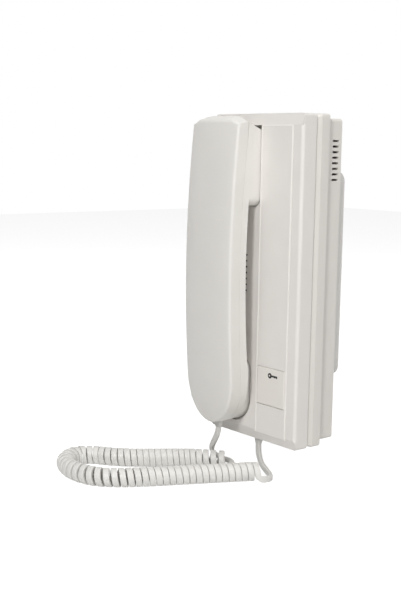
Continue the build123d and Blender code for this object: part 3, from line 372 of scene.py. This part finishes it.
def finish_of(slot):
    """The material of a slot, made when it is first asked for."""
    name = "finish_" + slot
    if name not in bpy.data.materials:
        maker, *values = finishes()[slot]
        maker(name, *values)
    return bpy.data.materials[name]


# Pieces


def new_object(name, bm, material):
    """An object of the scene from a finished bmesh, with one material."""
    mesh = bpy.data.meshes.new(name)
    bm.to_mesh(mesh)
    bm.free()
    mesh.materials.append(material)
    shape = bpy.data.objects.new(name, mesh)
    bpy.context.scene.collection.objects.link(shape)
    return shape


def add_piece(name, bm, body, slot, smooth=True):
    """A piece with its slot's material, which rides on a body where one is named."""
    for face in bm.faces:
        face.smooth = smooth
    piece = new_object(name, bm, finish_of(slot))
    if body:
        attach(piece, body)
    return piece


def verts_of(made):
    """Vertices among the geometry that an operator gives."""
    return [part for part in made if isinstance(part, bmesh.types.BMVert)]


# Cord


def smooth_line(points, steps):
    """Points of the smooth curve that has the given points as its control points."""
    data = bpy.data.curves.new("route", "CURVE")
    data.dimensions = "3D"
    spline = data.splines.new("NURBS")
    spline.points.add(len(points) - 1)
    for knot, point in zip(spline.points, points):
        knot.co = (*point, 1.0)
    spline.order_u = 3
    spline.use_endpoint_u = True
    spline.resolution_u = steps
    holder = bpy.data.objects.new("route", data)
    bpy.context.scene.collection.objects.link(holder)
    bpy.context.view_layer.update()
    mesh = bpy.data.meshes.new_from_object(holder)
    line = [vertex.co.copy() for vertex in mesh.vertices]
    bpy.data.objects.remove(holder)
    bpy.data.meshes.remove(mesh)
    bpy.data.curves.remove(data)
    return line


def run_lengths(line):
    """Distance along a line to each of its points."""
    reached = [0.0]
    for a, b in zip(line, line[1:]):
        reached.append(reached[-1] + (b - a).length)
    return reached


# The cord's route in millimetres: down from the station, round in the coil, and up to the handset
BASE_LEAD = [
    (1.7, -38.9, -113.0),
    (1.7, -38.9, -116.2),
    (1.7, -38.9, -126.0),
    (6.0, -39.3, -133.5),
    (15.0, -41.0, -136.3),
    (22.6, -44.9, -137.1),
    (21.6, -52.3, -137.5),
    (20.2, -55.6, -135.2),
]
COIL_AXIS = [  # seen from above
    (14.2, -52.8),
    (3.0, -74.6),
    (-11.0, -102.2),
    (-26.2, -132.0),
    (-40.8, -147.1),
    (-60.0, -151.1),
    (-79.2, -146.2),
    (-89.1, -133.9),
    (-85.8, -121.4),
    (-65.9, -108.7),
    (-48.9, -85.8),
    (-32.6, -63.0),
    (-17.0, -52.2),
]
AXIS_HEIGHT = -133.0
AXIS_STEPS = 60  # points of the axis for each of its control points
HANDSET_LEAD = [
    (-18.09, -49.09, -137.75),
    (-19.6, -44.0, -137.4),
    (-24.2, -41.8, -137.2),
    (-30.5, -44.6, -136.0),
    (-34.4, -50.3, -132.0),
    (-31.3, -53.8, -127.5),
    (-26.3, -56.6, -122.0),
    (-21.6, -57.7, -116.2),
    (-18.9, -58.1, -110.8),
    (-18.8, -58.1, -106.2),
    (-18.8, -58.1, -103.0),
]
COIL_PITCHES = [  # distance along the axis, and the pitch there
    (0, 4.45),
    (75, 4.5),
    (95, 5.1),
    (110, 5.3),
    (165, 5.4),
    (185, 4.6),
    (200, 4.4),
    (216, 4.16),
    (247, 4.16),
    (256, 4.9),
    (267, 6.0),
    (273, 6.6),
]
FIRST_TURN = 0.314  # of a turn from the bottom, where the lead runs into the coil
SPLIT_TURN = 32.0  # where the coil's station half meets its handset half
CORD_STEPS = 3  # points of the cord's line for each of its control points
BLENDED_ENDS = 2  # control points at each end of the coil that the leads still bend
CURL_ROOM = 0.97  # share of the room between two curls that the band may take
CORNER_POINTS = 4  # points in each rounded corner of the band's section


def pitch_at(station):
    """Pitch of the coil at a distance along its axis, both in millimetres."""
    for (s0, p0), (s1, p1) in zip(COIL_PITCHES, COIL_PITCHES[1:]):
        if station <= s1:
            return p0 + (p1 - p0) * (station - s0) / (s1 - s0)
    return COIL_PITCHES[-1][1]


def coil_points(radius, turn_points):
    """Control points of the curls round the coil's axis, and the number of turns."""
    axis = smooth_line([Vector((x, y, AXIS_HEIGHT)) * MM for x, y in COIL_AXIS], AXIS_STEPS)
    reached = run_lengths(axis)
    passed = [FIRST_TURN]
    for low, high in zip(reached, reached[1:]):
        passed.append(passed[-1] + (high - low) / (pitch_at((low + high) / 2 / MM) * MM))
    last_turn = round(passed[-1])
    stretch = (last_turn - FIRST_TURN) / (passed[-1] - FIRST_TURN)
    passed = [FIRST_TURN + stretch * (turn - FIRST_TURN) for turn in passed]
    count = round((last_turn - FIRST_TURN) * turn_points)
    step_turn = (last_turn - FIRST_TURN) / count
    reach = radius / cos(pi * step_turn)  # the smooth curve runs inside its control points
    points = []
    for step in range(count + 1):
        turn = FIRST_TURN + step * step_turn
        i = min(max(bisect_left(passed, turn), 1), len(passed) - 1)
        part = (turn - passed[i - 1]) / (passed[i] - passed[i - 1])
        centre = axis[i - 1].lerp(axis[i], part)
        along = (axis[i] - axis[i - 1]).normalized()
        across = Vector((0, 0, 1)).cross(along)
        angle = 2 * pi * turn
        points.append(centre + across * (reach * sin(angle)) - Vector((0, 0, reach * cos(angle))))
    return points, last_turn


def turned_about(direction, axis, angle):
    """A direction turned about an axis."""
    return Matrix.Rotation(angle, 3, axis) @ direction


def smooth_step(t):
    """Eased value from 0 to 1."""
    return t * t * (3 - 2 * t)


def band_thin_sides(line, headings, first, last):
    """Direction of the band's thin side at each point: to the coil's axis in the curls,
    carried on along the leads and turned there to lie along Y at both exits."""
    thin = [None] * len(line)
    for i in range(first, last + 1):
        bend = line[i - 1] + line[i + 1] - 2 * line[i]
        thin[i] = (bend - headings[i] * bend.dot(headings[i])).normalized()
    for run in (range(first - 1, -1, -1), range(last + 1, len(line))):
        for i in run:
            side = thin[i - run.step]
            thin[i] = (side - headings[i] * side.dot(headings[i])).normalized()
        end = run[-1]
        wanted = Vector((0, 1, 0)) if thin[end].y > 0 else Vector((0, -1, 0))
        wanted = (wanted - headings[end] * wanted.dot(headings[end])).normalized()
        angle = thin[end].angle(wanted)
        if thin[end].cross(wanted).dot(headings[end]) < 0:
            angle = -angle
        for count, i in enumerate(run, 1):
            eased = smooth_step(count / len(run))
            thin[i] = turned_about(thin[i], headings[i], angle * eased)
    return thin


def band_shares(line, headings, thin, first, last, turn_steps, width, thick):
    """Share of its width that the band has at each point, so that its curls don't cut each other."""
    outer = [point - side * thick / 2 for point, side in zip(line, thin)]
    shares = [1.0] * len(line)
    for i in range(first, last + 1):
        wide = headings[i].cross(thin[i])
        for other in (i - turn_steps, i + turn_steps):
            if first <= other <= last:
                room = min(abs((run[other] - run[i]).dot(wide)) for run in (line, outer))
                shares[i] = min(shares[i], CURL_ROOM * room / width)
    return shares


def band_section(width, thick, edge):
    """Corners of a rounded band section, as (across, up) pairs."""
    section = []
    for sx, sy, start in ((1, 1, 0), (-1, 1, 90), (-1, -1, 180), (1, -1, 270)):
        for step in range(CORNER_POINTS):
            angle = radians(start + 90 / (CORNER_POINTS - 1) * step)
            x = sx * (width / 2 - edge) + edge * cos(angle)
            y = sy * (thick / 2 - edge) + edge * sin(angle)
            section.append((x, y))
    return section


def band_mesh(line, headings, thin, shares, section):
    """Closed band that follows a line with a section, narrowed to a share of its width."""
    bm = bmesh.new()
    rings = []
    for point, heading, side, share_here in zip(line, headings, thin, shares):
        wide = heading.cross(side) * share_here
        rings.append([bm.verts.new(point + wide * x + side * y) for x, y in section])
    count = len(section)
    for low, high in zip(rings, rings[1:]):
        for k in range(count):
            n = (k + 1) % count
            bm.faces.new((low[k], low[n], high[n], high[k]))
    bm.faces.new(list(reversed(rings[0])))
    bm.faces.new(rings[-1])
    bmesh.ops.recalc_face_normals(bm, faces=bm.faces)
    return bm


# Camera

SENSOR_WIDTH = 36.0  # in millimetres, as cameras give it
NEAREST_SEEN = 10 * MM


class INTERCOM_OT_camera(bpy.types.Operator):
    """Put the camera at the photographed view"""

    bl_idname = "intercom.camera"
    bl_label = "Camera"

    def execute(self, context):
        view = context.scene.intercom.view
        data = bpy.data.cameras.new("camera")
        data.lens = view.lens
        data.sensor_width = SENSOR_WIDTH
        data.clip_start = NEAREST_SEEN
        camera = bpy.data.objects.new("camera", data)
        context.scene.collection.objects.link(camera)
        az, el = view.azimuth, view.elevation
        right = Vector((cos(az), sin(az), 0.0))
        ahead = Vector((-sin(az) * cos(el), cos(az) * cos(el), -sin(el)))
        up = right.cross(ahead)
        turned_right = right * cos(view.roll) + up * sin(view.roll)
        turned_up = up * cos(view.roll) - right * sin(view.roll)
        turn = Matrix((turned_right, turned_up, -ahead)).transposed()
        camera.matrix_world = Matrix.Translation(view.place) @ turn.to_4x4()
        context.scene.camera = camera
        return {"FINISHED"}


class INTERCOM_OT_cord(bpy.types.Operator):
    """Build the curly cord with its two leads, as a flat band in two halves"""

    bl_idname = "intercom.cord"
    bl_label = "Cord"

    def execute(self, context):
        sizes = context.scene.intercom.cord
        radius = (sizes.coil_outer - sizes.band_thick) / 2
        curls, last_turn = coil_points(radius, sizes.turn_points)
        base_lead = [Vector(p) * MM for p in BASE_LEAD]
        handset_lead = [Vector(p) * MM for p in HANDSET_LEAD]
        line = smooth_line(base_lead + curls + handset_lead, CORD_STEPS)
        span = (len(line) - 1) / (len(base_lead) + len(curls) + len(handset_lead) - 2)
        first = round(span * (len(base_lead) + BLENDED_ENDS))
        last = round(span * (len(base_lead) + len(curls) - 1 - BLENDED_ENDS))
        headings = [(line[1] - line[0]).normalized()]
        headings += [(c - a).normalized() for a, c in zip(line, line[2:])]
        headings.append((line[-1] - line[-2]).normalized())
        thin = band_thin_sides(line, headings, first, last)
        turn_steps = sizes.turn_points * CORD_STEPS
        band = (sizes.band_width, sizes.band_thick)
        shares = band_shares(line, headings, thin, first, last, turn_steps, *band)
        section = band_section(*band, sizes.band_edge)
        split_share = (SPLIT_TURN - FIRST_TURN) / (last_turn - FIRST_TURN)
        split = first + round((last - first) * split_share)
        halves = (
            ("cord_station_half", 0, split, ("curly_cord", "cord_base_lead"), line[0]),
            ("cord_handset_half", split, len(line) - 1, ("cord_handset_lead",), line[-1]),
        )
        for name, low, high, nodes, exit_point in halves:
            run = slice(low, high + 1)
            bm = band_mesh(line[run], headings[run], thin[run], shares[run], section)
            piece = add_piece(name, bm, None, "cord_jacket")
            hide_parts(*nodes)
            if low == 0:
                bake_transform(piece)
            else:
                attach(piece, "handset")
        return {"FINISHED"}


# Strain reliefs

STATION_EDGE = -114.0 * MM  # height of the housing's lower edge at the cord's exit
HANDSET_EDGE = -103.7 * MM  # height of the handset's lower end at the cord's exit

# Rings of a strain relief below the edge: the step down as a share of its length outside, then
# its width and its thickness as shares of the ring before
RELIEF_RINGS = (
    (0.25, 0.97, 0.95),
    (0.08, 0.90, 0.88),
    (0.10, 1.0, 1.0),
    (0.08, 1.03, 1.06),
    (0.16, 0.97, 0.96),
    (0.08, 0.92, 0.90),
    (0.10, 1.0, 1.0),
)
RELIEF_TIP = 0.15  # share of its length outside over which it tapers to the cord


def carry_down(bm, face, down, wide, thick, centre):
    """Extrude a face downwards, scale its end about a centre and return the end."""
    made = bmesh.ops.extrude_face_region(bm, geom=[face])["geom"]
    bmesh.ops.delete(bm, geom=[face], context="FACES_ONLY")
    verts = verts_of(made)
    bmesh.ops.translate(bm, verts=verts, vec=(0, 0, -down))
    around = Matrix.Translation(-centre)
    bmesh.ops.scale(bm, verts=verts, vec=(wide, thick, 1.0), space=around)
    return next(part for part in made if isinstance(part, bmesh.types.BMFace))


class INTERCOM_OT_reliefs(bpy.types.Operator):
    """Build the tapered strain reliefs at both ends of the cord"""

    bl_idname = "intercom.reliefs"
    bl_label = "Strain reliefs"

    def execute(self, context):
        sizes = context.scene.intercom.fittings
        cord = context.scene.intercom.cord
        corners = band_section(sizes.relief_width, sizes.relief_thick, sizes.relief_edge)
        for name, body, node, exit_point, edge_z in (
            ("relief_at_station", "station", "base_strain_relief", BASE_LEAD[0], STATION_EDGE),
            ("relief_at_handset", "handset", "handset_strain_relief", HANDSET_LEAD[-1], HANDSET_EDGE),
        ):
            centre = Vector((exit_point[0] * MM, exit_point[1] * MM, 0))
            top = Vector((0, 0, edge_z + sizes.relief_inside))
            bm = bmesh.new()
            ring = [bm.verts.new(centre + top + Vector((x, y, 0))) for x, y in corners]
            face = bm.faces.new(ring)
            face = carry_down(bm, face, sizes.relief_inside, 1.0, 1.0, centre)
            for down, wide, thick in RELIEF_RINGS:
                face = carry_down(bm, face, sizes.relief_length * down, wide, thick, centre)
            half_width = max(vertex.co.x for vertex in face.verts) - centre.x
            half_thick = max(vertex.co.y for vertex in face.verts) - centre.y
            wide = (cord.band_width + sizes.relief_lip) / 2 / half_width
            thick = (cord.band_thick + sizes.relief_lip) / 2 / half_thick
            carry_down(bm, face, sizes.relief_length * RELIEF_TIP, wide, thick, centre)
            bm.faces.new(list(reversed(ring)))
            bmesh.ops.recalc_face_normals(bm, faces=bm.faces)
            piece = add_piece(name, bm, body, "relief_rubber")
            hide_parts(node)
        return {"FINISHED"}


# Handset shell

# Tolerances in metres, or as an angle: for points that merge, flat faces and points on a cut
MERGE_WITHIN = 0.002 * MM
FLAT_WITHIN = radians(0.2)
CUT_WITHIN = 1e-7

SHARP_FROM = radians(30)  # edges that turn by more are left sharp
SEAM_REACH = 1.2 * MM  # how far inside the outline the seam's rounding lies at most
SEAM_BELOW_TOP = 6 * MM  # where the seam ends, below the handset's top
FRONT_STRIPS = 12
RIM_SEGMENTS = 4
CROWN_EVEN = 0.4  # share of the crown that falls as the square of the way to the side
CROWN_LATE = 0.6  # share of it that falls as the fourth power

# Y of the normals of a shell's faces, where -1 looks straight out of the wall: the most that its
# front has, the least that its sides have, and the lowest and highest of each group of faces
RIM_FRONT = -0.9
RIM_SIDE = -0.5
FRONT_FACING = (-1.01, -0.15)
CROWN_FACING = (-1.01, -0.1)
SEAM_FACING = (0.05, 0.985)


def merged_copy(node):
    """A bmesh of a node in which its triangles are merged into whole faces."""
    bm = bmesh.new()
    bm.from_mesh(node.data)
    bm.transform(node.matrix_world)
    bmesh.ops.remove_doubles(bm, verts=bm.verts, dist=MERGE_WITHIN)
    bmesh.ops.dissolve_limit(bm, angle_limit=FLAT_WITHIN, verts=bm.verts, edges=bm.edges)
    return bm


def facing(faces, low, high):
    """Faces whose normals have a Y between two values."""
    return [face for face in faces if low < face.normal.y < high]


def once(parts):
    """Parts in their order, each one once."""
    return list(dict.fromkeys(parts))


def rim_edges(bm):
    """Edges where a shell's front meets its sides."""
    rim = []
    for edge in bm.edges:
        if len(edge.link_faces) == 2 and edge.is_convex:
            a, b = (face.normal.y for face in edge.link_faces)
            if min(a, b) < RIM_FRONT and max(a, b) > RIM_SIDE:
                rim.append(edge)
    return rim


def nearest_on(segments, spot):
    """Point of some segments that is nearest to a spot as seen from the front, and its distance."""
    best = None
    for a, b in segments:
        along = b - a
        flat = Vector((along.x, 0, along.z))
        part = (spot - a).dot(flat) / max(flat.length_squared, 1e-14)
        point = a + along * min(1.0, max(0.0, part))
        gap = Vector((point.x - spot.x, point.z - spot.z)).length
        if best is None or gap < best[1]:
            best = (point, gap)
    return best


def cut_brow(bm, place, slope):
    """Cut off a shell's top along a slope through a place, and close the cut."""
    cut = bmesh.ops.bisect_plane(
        bm,
        geom=[*bm.verts, *bm.edges, *bm.faces],
        dist=CUT_WITHIN,
        plane_co=place,
        plane_no=(0, -sin(slope), cos(slope)),
        clear_outer=True,
    )["geom_cut"]
    edges = [part for part in cut if isinstance(part, bmesh.types.BMEdge)]
    bmesh.ops.edgeloop_fill(bm, edges=edges)
    bm.normal_update()


def close_seam(bm, outline, top):
    """Bring the rounding at a shell's seam out to its outline, up to a height."""
    for face in facing(bm.faces, *SEAM_FACING):
        for vertex in face.verts:
            point, gap = nearest_on(outline, vertex.co)
            if gap < SEAM_REACH and vertex.co.z < top:
                vertex.co.x, vertex.co.z = point.x, point.z


def cut_front(bm, middle, half):
    """Cut a shell's front into upright strips."""
    for cut in range(1, FRONT_STRIPS):
        front = facing(bm.faces, *FRONT_FACING)
        edges = [edge for face in front for edge in face.edges]
        verts = [vertex for face in front for vertex in face.verts]
        bmesh.ops.bisect_plane(
            bm,
            geom=once([*front, *edges, *verts]),
            dist=CUT_WITHIN,
            plane_co=(middle + half * (2 * cut / FRONT_STRIPS - 1), 0, 0),
            plane_no=(1, 0, 0),
        )
    bm.normal_update()


def crown_front(bm, outline, middle, half, sizes):
    """Let a shell's front fall back from its middle to its sides."""
    crowned = facing(bm.faces, *CROWN_FACING)
    for vertex in once(vertex for face in crowned for vertex in face.verts):
        rim_point, _ = nearest_on(outline, vertex.co)
        if vertex.co.y < rim_point.y + 2 * sizes.rim_round:
            across = (vertex.co.x - middle) / half
            fall = CROWN_EVEN * across**2 + CROWN_LATE * across**4
            vertex.co.y += sizes.front_crown * fall
    bm.normal_update()


class INTERCOM_OT_handset_shell(bpy.types.Operator):
    """Dress the handset's outer shell: crowned front, rounded rim, lower brow and closed seam"""

    bl_idname = "intercom.handset_shell"
    bl_label = "Handset shell"

    def execute(self, context):
        sizes = context.scene.intercom.fittings
        low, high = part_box("handset_outer_shell")
        middle, half = (low.x + high.x) / 2, (high.x - low.x) / 2
        bm = merged_copy(frame["nodes"]["handset_outer_shell"])
        brow = Vector((middle, low.y + sizes.brow_back, high.z - sizes.brow_drop))
        cut_brow(bm, brow, sizes.brow_slope)
        rim = rim_edges(bm)
        outline = [tuple(vertex.co.copy() for vertex in edge.verts) for edge in rim]
        close_seam(bm, outline, high.z - SEAM_BELOW_TOP)
        bmesh.ops.bevel(
            bm,
            geom=rim,
            offset=sizes.rim_round,
            offset_type="OFFSET",
            segments=RIM_SEGMENTS,
            profile=0.5,
            affect="EDGES",
            material=-1,
            clamp_overlap=False,
        )
        bm.normal_update()
        cut_front(bm, middle, half)
        crown_front(bm, outline, middle, half, sizes)
        for edge in bm.edges:
            if len(edge.link_faces) == 2 and edge.calc_face_angle() > SHARP_FROM:
                edge.smooth = False
        piece = add_piece("handset_front_shell", bm, "handset", "handset_plastic")
        normals = piece.modifiers.new("normals", "WEIGHTED_NORMAL")
        normals.keep_sharp = True
        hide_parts("handset_outer_shell")
        return {"FINISHED"}


# Printed key and panel bead

PRINT_LIFT = 0.001 * MM  # how far the print's back stands off the button
KEY_SIDES = 32
KEY_HOLE_AT = 0.82  # place of the hole's middle, as a share of the head's radius
KEY_NECK = 1.9  # where the shank starts, as a share of the head's radius

# Teeth of the key: from and to, as shares of its length, and how deep, in half widths of the shank
KEY_TEETH = ((0.86, 1.0, 1.7), (0.66, 0.76, 1.5))

# The raised panel of the front cover, in millimetres
PANEL_LEFT = 5.4
PANEL_FRONT = -46.1
PANEL_BOTTOM = -108.0
PANEL_TOP = 98.0

# Section of the panel's bead in millimetres: across from the panel's edge, and out from its face
BEAD_SECTION = (
    (-0.3, -0.2),
    (-0.25, 0.0),
    (-0.05, 0.28),
    (0.2, 0.32),
    (0.55, 0.18),
    (1.0, 0.0),
    (1.0, -0.2),
)


class INTERCOM_OT_key_print(bpy.types.Operator):
    """Print the key on the door button"""

    bl_idname = "intercom.key_print"
    bl_label = "Printed key"

    def execute(self, context):
        sizes = context.scene.intercom.fittings
        low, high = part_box("door_button")
        middle_x = (low.x + high.x) / 2 + sizes.key_right
        middle_z = high.z - sizes.key_down
        bm = bmesh.new()
        for radius, right in (
            (sizes.key_head, sizes.key_head),
            (sizes.key_hole, sizes.key_head * KEY_HOLE_AT),
        ):
            circle = bmesh.ops.create_circle(bm, segments=KEY_SIDES, radius=radius)["verts"]
            bmesh.ops.translate(bm, verts=circle, vec=(right, 0, 0))
        bmesh.ops.bridge_loops(bm, edges=bm.edges[:])
        half = sizes.key_shank / 2
        shank = (sizes.key_head * KEY_NECK, sizes.key_long, -half, half)
        teeth = [
            (sizes.key_long * start, sizes.key_long * end, -half * deep, -half)
            for start, end, deep in KEY_TEETH
        ]
        for x0, x1, z0, z1 in (shank, *teeth):
            square = bmesh.ops.create_grid(bm, x_segments=1, y_segments=1, size=0.5)["verts"]
            bmesh.ops.scale(bm, verts=square, vec=(x1 - x0, z1 - z0, 1.0))
            bmesh.ops.translate(bm, verts=square, vec=((x0 + x1) / 2, (z0 + z1) / 2, 0))
        raised = bmesh.ops.extrude_face_region(bm, geom=bm.faces[:])["geom"]
        bmesh.ops.translate(bm, verts=verts_of(raised), vec=(0, 0, sizes.key_print))
        bmesh.ops.recalc_face_normals(bm, faces=bm.faces)
        corner = (middle_x - sizes.key_long / 2, low.y - PRINT_LIFT, middle_z)
        stand_up = Matrix.Translation(corner) @ Matrix.Rotation(pi / 2, 4, "X")
        bmesh.ops.transform(bm, matrix=stand_up, verts=bm.verts)
        ink = printed_ink("finish_print_ink", context.scene.intercom.finish.print_ink)
        piece = new_object("key_print", bm, ink)
        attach(piece, "button")
        return {"FINISHED"}


class INTERCOM_OT_panel_bead(bpy.types.Operator):
    """Run the fine bead along the panel's left edge"""

    bl_idname = "intercom.panel_bead"
    bl_label = "Panel bead"

    def execute(self, context):
        bm = bmesh.new()
        ring = [
            bm.verts.new(((PANEL_LEFT + x) * MM, (PANEL_FRONT - rise) * MM, PANEL_BOTTOM * MM))
            for x, rise in BEAD_SECTION
        ]
        face = bm.faces.new(ring)
        made = bmesh.ops.extrude_face_region(bm, geom=[face], use_keep_orig=True)["geom"]
        up = (0, 0, (PANEL_TOP - PANEL_BOTTOM) * MM)
        bmesh.ops.translate(bm, verts=verts_of(made), vec=up)
        bmesh.ops.recalc_face_normals(bm, faces=bm.faces)
        add_piece("panel_bead", bm, "station", "cover_plastic", smooth=False)
        return {"FINISHED"}


# Finishes and stage


class INTERCOM_OT_finishes(bpy.types.Operator):
    """Give each node of the frame its finish"""

    bl_idname = "intercom.finishes"
    bl_label = "Finishes"

    def execute(self, context):
        slots = {row["node"]: row["material_slot"] for row in frame["record"]["subparts"]}
        for name, node in frame["nodes"].items():
            node.data.materials.clear()
            node.data.materials.append(finish_of(slots[name]))
        return {"FINISHED"}


def white_for_eye(tree, level):
    """Strength that is 1 for the camera, reflections and glass, and a level for other light."""
    path = add_node(tree, "ShaderNodeLightPath")
    first = add_node(tree, "ShaderNodeMath", operation="MAXIMUM")
    second = add_node(tree, "ShaderNodeMath", operation="MAXIMUM")
    strength = add_node(tree, "ShaderNodeMapRange", {"To Min": level, "To Max": 1.0})
    tree.links.new(path.outputs["Is Camera Ray"], first.inputs[0])
    tree.links.new(path.outputs["Is Glossy Ray"], first.inputs[1])
    tree.links.new(first.outputs[0], second.inputs[0])
    tree.links.new(path.outputs["Is Transmission Ray"], second.inputs[1])
    tree.links.new(second.outputs[0], strength.inputs["Value"])
    return strength.outputs["Result"]


FLOOR_GAP = 0.02 * MM  # how far the floor lies below the solids

# Lamps: place in metres, side, and the setting that holds its level
LAMPS = {
    "key": ((0.52, -1.05, 0.675), 0.22, "key_level"),
    "side": ((1.041, -0.279, 0.812), 0.8, "side_level"),
    "top": ((0.1, -0.1, 1.3), 0.9, "top_level"),
}


def floor_finish(studio):
    """Pale floor that the camera and reflections see as near white."""
    values = {
        "Base Color": shaded(studio.floor_colour, 1.0),
        "Roughness": 0.9,
        "Specular IOR Level": 0.0,
        "Emission Color": (1, 1, 1, 1),
    }
    material, tree, surface = new_material("studio_floor", values)
    path = add_node(tree, "ShaderNodeLightPath")
    seen = add_node(tree, "ShaderNodeMath", operation="MAXIMUM")
    glow = add_node(tree, "ShaderNodeMapRange", {"To Min": 0.0, "To Max": studio.floor_white})
    tree.links.new(path.outputs["Is Camera Ray"], seen.inputs[0])
    tree.links.new(path.outputs["Is Glossy Ray"], seen.inputs[1])
    tree.links.new(seen.outputs[0], glow.inputs["Value"])
    tree.links.new(glow.outputs["Result"], surface.inputs["Emission Strength"])
    return material


def even_light(level):
    """World of even white light at a level, seen by the camera as white."""
    world = bpy.data.worlds.new("studio")
    world.use_nodes = True
    tree = world.node_tree
    sky = next(node for node in tree.nodes if node.type == "BACKGROUND")
    sky.inputs["Color"].default_value = (1, 1, 1, 1)
    tree.links.new(white_for_eye(tree, level), sky.inputs["Strength"])
    return world


def add_lamp(name, place, size, level):
    """Square lamp that looks at the origin and lights it at a level."""
    lamp = bpy.data.lights.new(name, "AREA")
    lamp.shape = "SQUARE"
    lamp.size = size
    lamp.energy = level * pi**2 * place.length_squared
    holder = bpy.data.objects.new(name, lamp)
    bpy.context.scene.collection.objects.link(holder)
    holder.rotation_mode = "QUATERNION"
    holder.rotation_quaternion = (-place).to_track_quat("-Z", "Y")
    holder.location = place


class INTERCOM_OT_stage(bpy.types.Operator):
    """Build the pale floor, the lamps and the even light"""

    bl_idname = "intercom.stage"
    bl_label = "Stage"

    def execute(self, context):
        studio = context.scene.intercom.studio
        context.scene.view_settings.view_transform = "Standard"
        bm = bmesh.new()
        grid = bmesh.ops.create_grid(bm, x_segments=4, y_segments=4, size=studio.floor_size / 2)
        bmesh.ops.translate(bm, verts=grid["verts"], vec=(0, 0, -studio.floor_below - FLOOR_GAP))
        floor = new_object("floor", bm, floor_finish(studio))
        context.scene.world = even_light(studio.ambient)
        for name, (place, size, level) in LAMPS.items():
            add_lamp(name, Vector(place), size, getattr(studio, level))
        return {"FINISHED"}


OPERATORS = (
    INTERCOM_OT_camera,
    INTERCOM_OT_cord,
    INTERCOM_OT_reliefs,
    INTERCOM_OT_handset_shell,
    INTERCOM_OT_key_print,
    INTERCOM_OT_panel_bead,
    INTERCOM_OT_finishes,
    INTERCOM_OT_stage,
)


class INTERCOM_PT_panel(bpy.types.Panel):
    """Pieces of the door intercom"""

    bl_idname = "INTERCOM_PT_panel"
    bl_label = "Door intercom"
    bl_space_type = "VIEW_3D"
    bl_region_type = "UI"
    bl_category = "Intercom"

    def draw(self, context):
        for operator in OPERATORS:
            self.layout.operator(operator.bl_idname)
        for group in ("view", "studio", "cord", "fittings", "finish"):
            settings = getattr(context.scene.intercom, group)
            box = self.layout.box()
            for name in settings.__annotations__:
                box.prop(settings, name)


CLASSES = (
    INTERCOM_PG_view,
    INTERCOM_PG_studio,
    INTERCOM_PG_cord,
    INTERCOM_PG_fittings,
    INTERCOM_PG_finish,
    INTERCOM_PG_settings,
    *OPERATORS,
    INTERCOM_PT_panel,
)


def register():
    for cls in CLASSES:
        bpy.utils.register_class(cls)
    bpy.types.Scene.intercom = PointerProperty(type=INTERCOM_PG_settings)


def unregister():
    del bpy.types.Scene.intercom
    for cls in reversed(CLASSES):
        bpy.utils.unregister_class(cls)


def main():
    """Register the add-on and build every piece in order."""
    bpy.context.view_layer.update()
    register()
    bpy.ops.intercom.camera()
    bpy.ops.intercom.cord()
    bpy.ops.intercom.reliefs()
    bpy.ops.intercom.handset_shell()
    bpy.ops.intercom.key_print()
    bpy.ops.intercom.panel_bead()
    bpy.ops.intercom.finishes()
    bpy.ops.intercom.stage()


if __name__ == "__main__":
    main()
